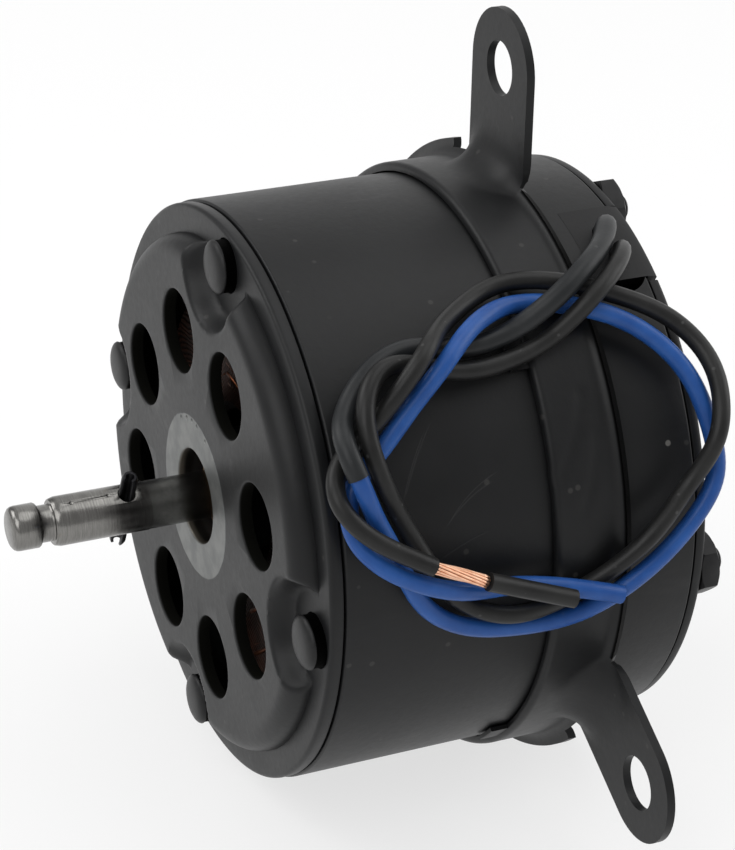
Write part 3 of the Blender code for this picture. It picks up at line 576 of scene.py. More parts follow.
def pick(obj, test, kind="FACE"):
    """In edit mode, selects the faces, edges or corners that pass the test."""
    bpy.ops.mesh.select_mode(type=kind)
    bpy.ops.mesh.select_all(action="DESELECT")
    bm = bmesh.from_edit_mesh(obj.data)
    bm.verts.index_update()
    for part in {"FACE": bm.faces, "EDGE": bm.edges, "VERT": bm.verts}[kind]:
        if test(part):
            part.select_set(True)
    bm.select_flush_mode()
    bmesh.update_edit_mesh(obj.data)


def apply_modifier(obj, kind, **settings):
    """Adds a modifier and applies it at once."""
    only(obj)
    mod = obj.modifiers.new("shape", kind)
    for key, value in settings.items():
        setattr(mod, key, value)
    bpy.ops.object.modifier_apply(modifier=mod.name)


def carve(obj, *cutters, how="DIFFERENCE"):
    """Cuts solids out of a piece for good, or joins them to it, and removes them."""
    for cutter in cutters:
        apply_modifier(obj, "BOOLEAN", operation=how, solver="EXACT", object=cutter)
        bpy.data.objects.remove(cutter, do_unlink=True)
    return obj


def soften(obj, width=None, angle=32.0, segments=2):
    """Rounds the sharp edges, if a width is given, and shades the piece smooth."""
    if width:
        apply_modifier(obj, "BEVEL", width=width * MM, segments=segments, limit_method="ANGLE",
                       angle_limit=math.radians(angle), use_clamp_overlap=True)
        tidy(obj, reach=0.01)
    only(obj)
    bpy.ops.object.shade_smooth_by_angle(angle=math.radians(angle))
    return obj


def tidy(obj, closed=True, reach=0.001):
    """Merges what spin or join left double, and turns the faces of a closed piece out."""
    edit(obj)
    bpy.ops.mesh.select_mode(type="VERT")
    bpy.ops.mesh.select_all(action="SELECT")
    bpy.ops.mesh.remove_doubles(threshold=reach * MM)
    if closed:
        bpy.ops.mesh.normals_make_consistent(inside=False)
    only(obj)
    return obj


def drawn(name, spots, closed=False):
    """A chain of edges: one corner, pulled on from spot to spot."""
    only(None)
    bpy.ops.mesh.primitive_plane_add(size=MM)
    obj = bpy.context.object
    obj.name = obj.data.name = name
    edit(obj)
    bpy.ops.mesh.select_mode(type="VERT")
    bpy.ops.mesh.select_all(action="SELECT")
    bpy.ops.mesh.merge(type="CENTER")
    bpy.ops.transform.translate(value=spots[0])
    for here, there in zip(spots, spots[1:]):
        bpy.ops.mesh.extrude_vertices_move(TRANSFORM_OT_translate={"value": there - here})
    if closed:
        ends = (Vector(spots[0]), Vector(spots[-1]))
        pick(obj, lambda v: min((v.co - end).length for end in ends) < 1e-7, "VERT")
        bpy.ops.mesh.edge_face_add()
    return obj


def turned(name, profile, steps=128, first=0.0, last=360.0, closed=True):
    """A profile of (radius, y), drawn at the first angle and spun round the shaft."""
    obj = drawn(name, [polar(r, first, y) for r, y in profile], closed)
    bpy.ops.mesh.select_all(action="SELECT")
    bpy.ops.mesh.spin(steps=steps, angle=math.radians(first - last), center=(0, 0, 0),
                      axis=(0, 1, 0))
    return tidy(obj, closed)


def sector(name, profile, first, last, steps):
    """A ring's share between two angles, with both ends closed."""
    obj = turned(name, profile, steps, first, last)
    edit(obj)
    bpy.ops.mesh.select_mode(type="EDGE")
    bpy.ops.mesh.select_all(action="DESELECT")
    bpy.ops.mesh.select_non_manifold()
    bpy.ops.mesh.edge_face_add()
    return tidy(obj)


def settle(obj, matrix=None):
    """Puts a place into the mesh, so that the object stays at the origin."""
    only(obj)
    if matrix is not None:
        obj.matrix_world = matrix @ obj.matrix_world
    bpy.ops.object.transform_apply(location=True, rotation=True, scale=True)
    return obj


def at_angle(obj, angle, radius=0.0, y=0.0):
    """Puts a piece made at +Z where the angle points."""
    turn = Matrix.Rotation(math.radians(angle), 4, "Y")
    return settle(obj, Matrix.Translation(polar(radius, angle, y)) @ turn)


def rounded(cx, cy, radius, start, end, steps=4):
    """Corner points on an arc, angles from +radius towards +y."""
    spots = []
    for k in range(steps + 1):
        a = math.radians(start + (end - start) * k / steps)
        spots.append((cx + radius * math.cos(a), cy + radius * math.sin(a)))
    return spots


def box(name, across, along, height):
    """A block from ranges of x, y and z, scaled out of a cube."""
    only(None)
    low = Vector((across[0], along[0], height[0])) * MM
    high = Vector((across[1], along[1], height[1])) * MM
    bpy.ops.mesh.primitive_cube_add(size=1.0, location=(low + high) / 2)
    obj = bpy.context.object
    obj.name = obj.data.name = name
    obj.scale = high - low
    return settle(obj)


def ball(radius, place):
    """A small ball at a place in metres, for a pit."""
    only(None)
    bpy.ops.mesh.primitive_uv_sphere_add(segments=12, ring_count=8, radius=radius * MM, location=place)
    return settle(bpy.context.object)


def rod(radius, length, corners, place=(0, 0, 0), tilt=0.0):
    """A round or cornered bar along Z, tilted about X, its middle at a place in millimetres."""
    only(None)
    bpy.ops.mesh.primitive_cylinder_add(vertices=corners, radius=radius * MM, depth=length * MM,
                                        location=[c * MM for c in place],
                                        rotation=(math.radians(tilt), 0, 0))
    return settle(bpy.context.object)


def wires(name, lines, radius, resolution):
    """Round wires with closed ends, one along each line of points in metres."""
    curve = bpy.data.curves.new(name, "CURVE")
    curve.dimensions = "3D"
    curve.bevel_depth = radius * MM
    curve.bevel_resolution = resolution
    curve.use_fill_caps = True
    for line in lines:
        path = curve.splines.new("POLY")
        path.points.add(len(line) - 1)
        for point, spot in zip(path.points, line):
            point.co = (*spot, 1.0)
    obj = bpy.data.objects.new(name, curve)
    bpy.context.scene.collection.objects.link(obj)
    return obj


def as_mesh(obj):
    """Makes wires a mesh."""
    only(obj)
    bpy.ops.object.convert(target="MESH")
    return bpy.context.object


def dress(obj, material, body="housing", stands_for=()):
    """Gives a finished piece its material and body, and hides the CAD nodes it stands for."""
    obj.data.materials.clear()
    obj.data.materials.append(material)
    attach(obj, body)
    if stands_for:
        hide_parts(*stands_for)
    return obj


# ---- leads ----

def spline(route, steps=LINE_STEPS):
    """A natural cubic spline through the route, in metres, with steps points per knot."""
    knots = np.array(route) * MM
    gaps = np.linalg.norm(np.diff(knots, axis=0), axis=1)
    slopes = np.diff(knots, axis=0) / gaps[:, None]
    count = len(knots)
    matrix = np.eye(count)
    right = np.zeros((count, 3))
    for i in range(1, count - 1):
        matrix[i, i - 1:i + 2] = gaps[i - 1], 2.0 * (gaps[i - 1] + gaps[i]), gaps[i]
        right[i] = 6.0 * (slopes[i] - slopes[i - 1])
    bends = np.linalg.solve(matrix, right)
    line = []
    for i, gap in enumerate(gaps):
        for k in range(steps):
            t = gap * k / steps
            pull = slopes[i] - gap * (2.0 * bends[i] + bends[i + 1]) / 6.0
            line.append(knots[i] + t * pull + t * t * bends[i] / 2.0
                        + t ** 3 * (bends[i + 1] - bends[i]) / (6.0 * gap))
    line.append(knots[-1])
    return [Vector(p) for p in line]


def trimmed(line, distance):
    """Takes a distance in millimetres off the start of a line."""
    left = distance * MM
    line = list(line)
    while left > (line[1] - line[0]).length:
        left -= (line[1] - line[0]).length
        line.pop(0)
    line[0] = line[0] + (line[1] - line[0]).normalized() * left
    return line


def cable(name, line, radius, material):
    """A lead or a piece on one, along a line."""
    obj = wires(name, [line], radius, 4)
    obj.data.materials.append(material)
    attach(obj, "housing")
    return obj


def add_strands(start, end, material):
    """Nineteen thin copper wires, twisted, between the cut ends of the insulation."""
    along = (end - start).normalized()
    side = along.cross(Vector((0, 0, 1))).normalized()
    other = along.cross(side)
    places = [(0.0, 0.0)]
    places += [(0.4, 60.0 * k) for k in range(6)] + [(0.8, 30.0 * k + 9.0) for k in range(12)]
    rng = random.Random(4)
    lines = []
    for radius, angle in places:
        reach = 1.0 + rng.uniform(-0.012, 0.012)
        line = []
        for k in range(STRAND_STEPS + 1):
            t = k / STRAND_STEPS
            a = math.radians(angle + STRAND_TWIST * t)
            spread = radius * (1.0 + 0.07 * math.sin(3.0 * t + angle))
            spot = start.lerp(end, 0.5 + (t - 0.5) * reach)
            line.append(spot + (side * math.cos(a) + other * math.sin(a)) * spread * MM)
        lines.append(line)
    strands = tidy(as_mesh(wires("copper_strands", lines, STRAND_R, 1)))
    return dress(strands, material, stands_for=["copper_end"])


def add_leads():
    """Both leads with what is on them, from the hood to their cut ends."""
    black = insulation("black_lead", (0.009, 0.009, 0.009), (0.015, 0.015, 0.0146), 0.40)
    blue = insulation("blue_lead", (0.012, 0.060, 0.235), (0.020, 0.085, 0.300), 0.36, 0.12)
    grey = insulation("lead_sleeve", (0.013, 0.0143, 0.0155), (0.020, 0.0213, 0.0225), 0.42)
    copper = copper_wire("bright_copper", (0.80, 0.42, 0.26), (0.95, 0.60, 0.42), 0.34, 0.25)

    def lead(name, line, material, node):
        piece = cable(name, line, LEAD_R, material)
        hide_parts(node)

    line = spline(BLUE_ROUTE)
    knot = int(round((SLEEVE_KNOTS - 1 + SLEEVE_SHARE) * LINE_STEPS))
    sleeve = cable("lead_sleeve", line[:knot + 1], SLEEVE_R, grey)
    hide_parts("blue_lead_sleeve")
    lead("blue_wire", line, blue, "blue_lead")

    line = spline(BLACK_ROUTE)
    bare = (len(BLACK_ROUTE) - 3) * LINE_STEPS
    cut = bare + LINE_STEPS
    strands = add_strands(line[bare], line[cut], copper)
    slug = cable("lead_slug", trimmed(line[cut:], LEAD_GAP), LEAD_R, black)
    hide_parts("lead_offcut")
    lead("black_wire", line[:bare + 1], black, "black_lead")


# ---- housing ----

def press(spot):
    """Sinks the corners of the cap sheet that lie in a bolt pocket. spot is in metres."""
    x, y, z = spot / MM
    radius = math.hypot(x, z)
    if not PRESSED_IN_R <= radius <= PRESSED_OUT_R:
        return spot
    share = 1.0
    for angle in BOLT_ANGLES:
        centre = polar(BOLT_CIRCLE_R, angle) / MM
        away = math.hypot(x - centre.x, z - centre.z) - POCKET_R
        t = min(max((away + POCKET_SOFT_IN) / POCKET_SOFT, 0.0), 1.0)
        share = min(share, t * t * (3.0 - 2.0 * t))
    inner = y > CAP_FRONT + 1.0 and radius < PLATEAU_R - 0.1
    floor = CAP_RIM_Y + CAP_SHEET if inner else CAP_RIM_Y
    if y >= floor:
        return spot
    return Vector((x, floor - (floor - y) * share, z)) * MM


def make_cap(material):
    """The front cap: one pressed sheet with a raised plateau, bolt pockets and vents."""
    inside = CAP_FRONT + CAP_SHEET
    profile = [(SEAT_R, SEAT_END), (SEAT_R, -45.0), (SEAT_R, CAP_FRONT + 0.4)]
    profile += rounded(SEAT_R + 0.4, CAP_FRONT + 0.4, 0.4, 225, 270, 2)
    profile += [(10.0, CAP_FRONT), (BARE_RING_R, CAP_FRONT), (18.0, CAP_FRONT), (23.0, CAP_FRONT),
                (28.0, CAP_FRONT)]
    radius = 30.0
    while radius < PLATEAU_R - 0.2:
        profile.append((radius, CAP_FRONT))
        radius += 0.45
    for t in range(0, 91, 9):
        a = math.radians(t)
        profile.append((PLATEAU_R + (RIM_RING_R - PLATEAU_R) * math.sin(a),
                        CAP_RIM_Y - (CAP_RIM_Y - CAP_FRONT) * math.cos(a)))
    profile += [(42.9, CAP_RIM_Y), (43.6, CAP_RIM_Y), (45.0, CAP_RIM_Y)]
    profile += rounded(CAP_RIM_R - 0.7, CAP_RIM_Y + 0.7, 0.7, -90, 0, 4)
    profile += rounded(CAP_RIM_R - 0.25, CAP_BACK - 0.25, 0.25, 0, 90, 2)
    profile += [(PILOT_R, CAP_BACK), (PILOT_R, CAP_BACK + 2.6), (PILOT_R - 0.9, CAP_BACK + 2.6),
                (PILOT_R - 0.9, CAP_BACK), (42.0, CAP_BACK), (39.8, CAP_BACK)]
    profile += [(38.6, inside + 1.2), (37.4, inside), (34.0, inside), (31.0, inside), (28.0, inside)]
    profile += [(SEAT_OUT_R, inside), (SEAT_OUT_R, SEAT_END)]
    cap = turned("cap_pressing", profile, 480)
    for vert in cap.data.vertices:
        if vert.co.y < CAP_RIM_Y * MM + 1e-6:
            vert.co = press(vert.co)
    edge = [(VENT_R, inside + 1.0), (VENT_R, CAP_FRONT + 0.35), (VENT_R + 0.10, CAP_FRONT + 0.10),
            (VENT_R + 0.36, CAP_FRONT), (VENT_R + 0.36, CAP_FRONT - 1.0)]
    for angle in VENT_ANGLES:
        hole = turned("vent", [(0, inside + 1.0), *edge, (0, CAP_FRONT - 1.0)], 48)
        carve(cap, at_angle(hole, angle, VENT_CIRCLE_R))
    sink = CAP_RIM_Y + 0.6
    for angle in BOLT_ANGLES:
        hole = turned("bolt_hole", [(0, CAP_BACK + 1), (BOLT_R + 0.3, CAP_BACK + 1), (BOLT_R + 0.3, sink),
                                    (HEAD_R + 0.1, sink), (HEAD_R + 0.1, CAP_RIM_Y - 1),
                                    (0, CAP_RIM_Y - 1)], 64)
        carve(cap, at_angle(hole, angle, BOLT_CIRCLE_R))
    for radius, angle in RING_PITS:
        carve(cap, ball(0.5, polar(radius, angle, CAP_FRONT - 0.22)))
    tidy(cap)
    soften(cap, angle=40.0)
    return dress(cap, material, stands_for=["front_cap"])


def make_can(material):
    """The can, a plain tube with the lead exit cut in its rear edge."""
    inner = CAN_R - CAN_WALL
    profile = [(inner, CAN_FRONT + 0.3), (inner + 0.3, CAN_FRONT)]
    profile += rounded(CAN_R - 0.4, CAN_FRONT + 0.4, 0.4, -90, 0, 4)
    profile += [(CAN_R, -20.0), (CAN_R, 4.0)]
    profile += rounded(CAN_R - 0.4, CAN_REAR - 0.4, 0.4, 0, 90, 4)
    profile += [(inner + 0.3, CAN_REAR), (inner, CAN_REAR - 0.3)]
    can = turned("can_shell", profile, 256)
    notch = box("notch", (-6.5, 6.5), (HOOD_FRONT + 0.5, CAN_REAR + 2), (40, CAN_R + 5))
    carve(can, at_angle(notch, EXIT_ANGLE))
    carve(can, at_angle(rod(4.4, 8, 64, (0, 9.4, 47.0)), EXIT_GAP_ANGLE))
    soften(can, angle=32.0)
    return dress(can, material, stands_for=["can"])


def make_rear_cap(material):
    """The rear cap: a flat rim, a raised face and the cup of the bearing."""
    face = CAN_REAR + 0.3
    rear = face + 1.8
    high = rear + 3.2
    cup = high + 6.2
    seat = SEAT_R + 2.2
    profile = [(0, cup), (seat - 2.4, cup)] + rounded(seat - 1.4, cup - 1.4, 1.4, 90, 0, 5)
    profile += rounded(seat + 1.4, high + 1.4, 1.4, 180, 270, 5)
    profile += [(20.0, high), (30.0, high)] + rounded(33.4, high - 1.2, 1.2, 90, 40, 3)
    profile += rounded(36.6, rear + 0.9, 0.9, 220, 270, 3)
    profile += [(42.0, rear)] + rounded(CAP_RIM_R - 0.7, rear - 0.7, 0.7, 90, 0, 4)
    profile += rounded(CAP_RIM_R - 0.25, face + 0.25, 0.25, 0, -90, 2)
    profile += [(PILOT_R, face), (PILOT_R, face - 2.6), (PILOT_R - 0.9, face - 2.6),
                (PILOT_R - 0.9, face), (34.8, face), (32.6, high - 1.8), (seat - 0.2, high - 1.8),
                (seat - 0.2, 13.2), (SEAT_R, 13.2), (SEAT_R, cup - 1.6), (0, cup - 1.6)]
    cap = turned("rear_pressing", profile, 192, closed=False)
    tidy(cap)
    for angle in BOLT_ANGLES:
        hole = turned("bolt_hole", [(0, face - 2), (BOLT_R + 0.3, face - 2), (BOLT_R + 0.3, rear + 2),
                                    (0, rear + 2)], 32)
        carve(cap, at_angle(hole, angle, BOLT_CIRCLE_R))
    half = HOOD_W / 2 + 0.3
    for across, last, height in (((-half, half), rear + 1, (HOOD_IN_R - 0.3, CAN_R + 2)),
                                 ((0, half + 2.5), face - 0.05, (40.0, 46.5))):
        carve(cap, at_angle(box("notch", across, (face - 6, last), height), EXIT_ANGLE))
    soften(cap, angle=32.0)
    return dress(cap, material, stands_for=["rear_cap"])


def angle_of(spot):
    """The angle of a place about the shaft, from +Z towards +X."""
    return math.degrees(math.atan2(spot.x, spot.z))


def off_ear(spot, ear):
    """Degrees from the middle of an ear."""
    return (angle_of(spot) - ear + 180.0) % 360.0 - 180.0


def strap_chain(reach):
    """Outside line of the strap as (radius, y): to the trim, the end of the bend or the flange."""
    chain = [(STRAP_OUT_R, STRAP_FRONT)]
    y = STRAP_FRONT + 1.2
    while y < -BEND_R - 0.4:
        chain.append((STRAP_OUT_R, y))
        y += 0.7
    stops = {"trim": TRIM_ANGLE, "bend": 90.0, "flange": 90.0}[reach]
    for t in (0, 12, 24, 36, 48, 62, 76, 90):
        if t <= stops:
            a = math.radians(t)
            chain.append((BEND_OUT_R - BEND_R * math.cos(a), -BEND_R + BEND_R * math.sin(a)))
    if reach == "flange":
        chain.append((FLANGE_R, 0.0))
    return chain


def ear_shape(spot, ear, half):
    """Opens the bend under the middle of an ear to a wider radius."""
    radius = math.hypot(spot.x, spot.z) / MM
    off = off_ear(spot, ear)
    if abs(off) > half * 1.25 or radius > BEND_OUT_R + 6.0:
        return spot
    y = spot.y / MM
    wide = EAR_BEND_R
    share = max(0.0, 1.0 - (abs(off) / (half * 1.02)) ** 2.0)
    bend = BEND_R + (wide - BEND_R) * share * (2.0 - share)
    if radius < STRAP_OUT_R + 0.01 and y < -BEND_R:
        s = y + wide
    elif y < -1e-4:
        t = math.atan2(y + BEND_R, BEND_OUT_R - radius)
        s = wide - BEND_R + BEND_R * t
    else:
        s = wide - BEND_R + BEND_R * math.pi / 2 + radius - BEND_OUT_R
    old = 2.0 * (wide - BEND_R) + BEND_R * math.pi / 2
    if s <= 0.0 or s >= old:
        return spot
    new = 2.0 * (wide - bend) + bend * math.pi / 2
    s *= new / old
    if s < wide - bend:
        r, y = STRAP_OUT_R, s - wide
    elif s < wide - bend + bend * math.pi / 2:
        t = (s - wide + bend) / bend
        r, y = STRAP_OUT_R + bend * (1.0 - math.cos(t)), -bend + bend * math.sin(t)
    else:
        r, y = STRAP_OUT_R + bend + s - (wide - bend + bend * math.pi / 2), 0.0
    scale = r / radius
    return Vector((spot.x * scale, y * MM, spot.z * scale))


def crescent(angle, y, path, depth, width):
    """Depth of a shallow curved dent at a place on the strap."""
    best = 99.0
    for (a0, y0), (a1, y1) in zip(path, path[1:]):
        u, v = (angle - a0) * STRAP_DEGREE, y - y0
        du, dv = (a1 - a0) * STRAP_DEGREE, y1 - y0
        t = min(max((u * du + v * dv) / (du * du + dv * dv), 0.0), 1.0)
        best = min(best, math.hypot(u - du * t, v - dv * t))
    return depth * math.exp(-(best / width) ** 2)


def make_strap(material):
    """The strap, its bend, flange and three ears, made of one sheet."""
    half = math.degrees(math.asin(EAR_W / 2 / BEND_OUT_R))
    e1, e2, e3 = EAR_ANGLES
    sectors = [(e1 - half, e1 + half, "bend"), (e1 + half, e2 - half, "trim"),
               (e2 - half, e2 + half, "bend"), (e2 + half, e2 + half + NOTCH, "trim"),
               (e2 + half + NOTCH, e3 - half, "flange"), (e3 - half, e3 + half, "bend"),
               (e3 + half, 360.0 - half - NOTCH, "flange"), (360.0 - half - NOTCH, 360.0 - half, "trim")]
    strips = []
    for first, last, reach in sectors:
        steps = max(4, round((last - first) / 0.75))
        strips.append(turned("strip", strap_chain(reach), steps, first, last, closed=False))
    only(strips[0])
    for strip in strips[1:]:
        strip.select_set(True)
    bpy.ops.object.join()
    strap = bpy.context.object
    strap.name = strap.data.name = "strap"
    tidy(strap, closed=False)
    for ear in EAR_ANGLES:
        pull_ear(strap, ear, half)
    for vert in strap.data.vertices:
        for ear in EAR_ANGLES:
            vert.co = ear_shape(vert.co, ear, half)
        radius = vert.co.xz.length / MM
        if radius < STRAP_OUT_R + 0.1:
            angle = angle_of(vert.co)
            sink = sum(crescent(angle, vert.co.y / MM, *dent) for dent in DENTS)
            scale = (radius - sink) / radius
            vert.co.x *= scale
            vert.co.z *= scale
    edit(strap)
    bpy.ops.mesh.select_all(action="SELECT")
    bpy.ops.mesh.normals_make_consistent(inside=False)
    only(strap)
    probe = min(strap.data.polygons, key=lambda p: (p.center - polar(STRAP_OUT_R, 60.0, -6.0)).length)
    if probe.normal.dot(polar(1.0, 60.0)) < 0:
        edit(strap)
        bpy.ops.mesh.select_all(action="SELECT")
        bpy.ops.mesh.flip_normals()
        only(strap)
    apply_modifier(strap, "SOLIDIFY", thickness=STRAP_SHEET * MM, offset=-1.0, use_even_offset=True)
    edit(strap)

    def at_front(edge):
        return all(v.co.y < (STRAP_FRONT + 0.01) * MM and v.co.xz.length > (STRAP_OUT_R - 0.4) * MM
                   for v in edge.verts)

    pick(strap, at_front, "EDGE")
    bpy.ops.mesh.bevel(offset=0.95 * MM, segments=5, affect="EDGES")
    only(strap)
    for ear in EAR_ANGLES:
        hole = turned("ear_hole", [(0, -2), (EAR_HOLE_R, -2), (EAR_HOLE_R, 4), (0, 4)], 64)
        carve(strap, at_angle(hole, ear, EAR_HOLE_CIRCLE_R))
    top = STRAP_IN_R + TAB_SHEET
    tab = [(STRAP_IN_R, TAB_FRONT), (top - 0.1, TAB_FRONT), (top, TAB_FRONT + 0.15), (top, TAB_ROOT),
           (STRAP_IN_R, TAB_ROOT)]
    for angle in TAB_ANGLES:
        carve(strap, sector("tab", tab, angle - TAB_HALF, angle + TAB_HALF, 8), how="UNION")
    soften(strap, 0.22, 50.0, 2)
    return dress(strap, material, stands_for=["strap_bracket"])


def pull_ear(strap, ear, half):
    """Pulls the end of the bend out row by row until it has the ear's outline."""
    def at_root(edge):
        return all(abs(vert.co.xz.length / MM - BEND_OUT_R) <= 0.02 and abs(vert.co.y) <= 1e-5
                   and abs(off_ear(vert.co, ear)) <= half + 0.05 for vert in edge.verts)

    for row in range(1, EAR_ROWS + 1):
        edit(strap)
        if row == 1:
            pick(strap, at_root, "EDGE")
        else:
            bpy.ops.mesh.select_mode(type="EDGE")
        bpy.ops.mesh.extrude_edges_move()
        bm = bmesh.from_edit_mesh(strap.data)
        for vert in bm.verts:
            if vert.select:
                vert.co = next_row(vert.co, ear, half, row)
        bmesh.update_edit_mesh(strap.data)
    only(strap)


def next_row(spot, ear, half, row):
    """Where a corner of the ear goes: on a straight line from the bend to the outline."""
    turn = Matrix.Rotation(math.radians(-ear), 3, "Y")
    here = (turn @ spot) / MM
    side = angle_of(here) / half if row == 1 else ear_side(here, half, row - 1)
    return turn.inverted() @ (ear_spot(min(max(side, -1.0), 1.0), half, row) * MM)


def ear_spot(side, half, row):
    """A place on a row of the ear, side going from -1 to 1 across it."""
    a = math.radians(side * half)
    low = Vector((BEND_OUT_R * math.sin(a), 0.0, BEND_OUT_R * math.cos(a)))
    b = math.radians(side * 90.0)
    high = Vector((EAR_W / 2 * math.sin(b), 0.0, EAR_HOLE_CIRCLE_R + EAR_W / 2 * math.cos(b)))
    return low.lerp(high, row / EAR_ROWS)


def ear_side(here, half, row):
    """The share across the ear of a corner that is already on a row."""
    low, high = -1.0, 1.0
    for _ in range(30):
        mid = (low + high) / 2
        if ear_spot(mid, half, row).x < here.x:
            low = mid
        else:
            high = mid
    return (low + high) / 2


def make_bolts(material):
    """The four through bolts, each with its nut behind the rear cap."""
    top = CAP_RIM_Y - 0.8 - HEAD_H
    lip = top + 1.25
    for k, angle in enumerate(BOLT_ANGLES):
        profile = [(0, top), (1.4, top + 0.03), (2.5, top + 0.12), (3.3, top + 0.30), (3.85, top + 0.56),
                   (4.15, top + 0.82), (HEAD_R, top + 1.1)]
        profile += rounded(HEAD_R - 0.12, lip - 0.12, 0.12, 0, 90, 2)
        profile += [(HEAD_R - 0.15, lip + 0.1), (HEAD_R - 0.15, CAP_RIM_Y + 0.5), (BOLT_R, CAP_RIM_Y + 0.5),
                    (BOLT_R, NUT_FRONT)]
        y = NUT_REAR - 0.6
        while y < BOLT_END - 1.0:
            profile += [(BOLT_R, y), (BOLT_R - 0.32, y + 0.35)]
            y += 0.7
        profile += [(BOLT_R, y), (BOLT_R - 0.1, BOLT_END - 0.5), (BOLT_R - 0.6, BOLT_END), (0, BOLT_END)]
        bolt = tidy(turned("bolt_%d" % (k + 1), profile, 64, closed=False))
        soften(at_angle(bolt, angle, BOLT_CIRCLE_R), angle=35.0)
        nut = at_angle(at_angle(make_nut("hex_nut_%d" % (k + 1)), 13.0 * k), angle, BOLT_CIRCLE_R)
        for piece, node in ((bolt, "through_bolt_%d"), (nut, "nut_%d")):
            dress(piece, material, stands_for=[node % (k + 1)])


def make_nut(name):
    """A hexagon, its corners turned off, with a chamfered bore."""
    corner = NUT_FLATS / 2 / math.cos(math.radians(30))
    nut = rod(corner, NUT_REAR - NUT_FRONT, 6, (0, (NUT_REAR + NUT_FRONT) / 2, 0), 90)
    nut.name = nut.data.name = name
    flat = NUT_FLATS / 2 - 0.1
    out = corner + 0.1
    keep = turned("keep", [(0, NUT_FRONT - 0.1), (flat, NUT_FRONT - 0.1), (out, NUT_FRONT + 0.55),
                           (out, NUT_REAR - 0.55), (flat, NUT_REAR + 0.1), (0, NUT_REAR + 0.1)], 64)
    carve(nut, keep, how="INTERSECT")
    wide, bore = BOLT_R + 1.0, BOLT_R + 0.2
    carve(nut, turned("bore", [(0, NUT_FRONT - 1), (wide, NUT_FRONT - 1), (bore, NUT_FRONT + 0.35),
                               (bore, NUT_REAR - 0.35), (wide, NUT_REAR + 1), (0, NUT_REAR + 1)], 40))
    return soften(nut, 0.08, 30.0, 2)


def make_hood(material):
    """The rubber hood in the lead exit, almost flush with the can."""
    half = math.degrees(math.asin(HOOD_W / 2 / CAN_R))
    profile = [(HOOD_IN_R, HOOD_FRONT), (CAN_R + 0.03, HOOD_FRONT), (CAN_R + 0.10, HOOD_FRONT + 2.5),
               (CAN_R + 0.10, CAN_REAR + 0.1), (CAP_RIM_R + 0.02, HOOD_END - 0.7),
               (CAP_RIM_R - 0.1, HOOD_END - 0.3), (CAP_RIM_R - 0.4, HOOD_END), (HOOD_IN_R, HOOD_END)]
    hood = sector("lead_hood", profile, EXIT_ANGLE - half, EXIT_ANGLE + half - 0.4, 24)
    inside, outside, rear = HOOD_IN_R - 0.2, CAN_R + 0.02, CAN_REAR + 0.3
    wall = turned("wall", [(inside, -10), (outside, -10), (outside, rear), (inside, rear)], 256)
    carve(wall, at_angle(box("window", (-6.2, 6.2), (HOOD_FRONT + 0.8, 30), (30, 60)), EXIT_ANGLE))
    carve(hood, wall)
    for route, radius in ((BLUE_ROUTE, SLEEVE_R), (BLACK_ROUTE, LEAD_R)):
        carve(hood, as_mesh(wires("hole", [spline(route)[:4 * LINE_STEPS]], radius + 0.15, 4)))
    soften(hood, angle=40.0)
    return dress(hood, material, stands_for=["grommet"])


# ---- rotor ----

def make_shaft(material):
    """The shaft with its groove, its ground length, the pin's hole and two pits."""
    profile = [(0, -83.4), (2.2, -83.38), (2.9, -83.2), (3.35, -82.9), (3.58, -82.5), (3.65, -82.0)]
    profile += [(3.65, -79.0), (3.5, -78.75), (3.1, -78.65), (3.0, -78.45), (3.0, -76.7), (3.15, -76.5),
                (3.6, -76.45), (3.75, -76.3), (SHAFT_R, -75.4), (SHAFT_R, GROUND_END - 0.2), (3.9, GROUND_END),
                (3.9, 0.0), (3.9, 21.8), (3.4, 22.4), (0, 22.4)]
    shaft = tidy(turned("ground_shaft", profile, 128, closed=False))
    carve(shaft, at_angle(rod(PIN_R + 0.15, 20, 48), PIN_ANGLE, 0.0, PIN_Y))
    for angle, y in ((24.0, -73.4), (21.7, -67.2)):
        carve(shaft, ball(0.45, polar(SHAFT_R + 0.22, angle, y)))
    soften(shaft, 0.12, 35.0, 2)
    return dress(shaft, material, "rotor", ["shaft"])


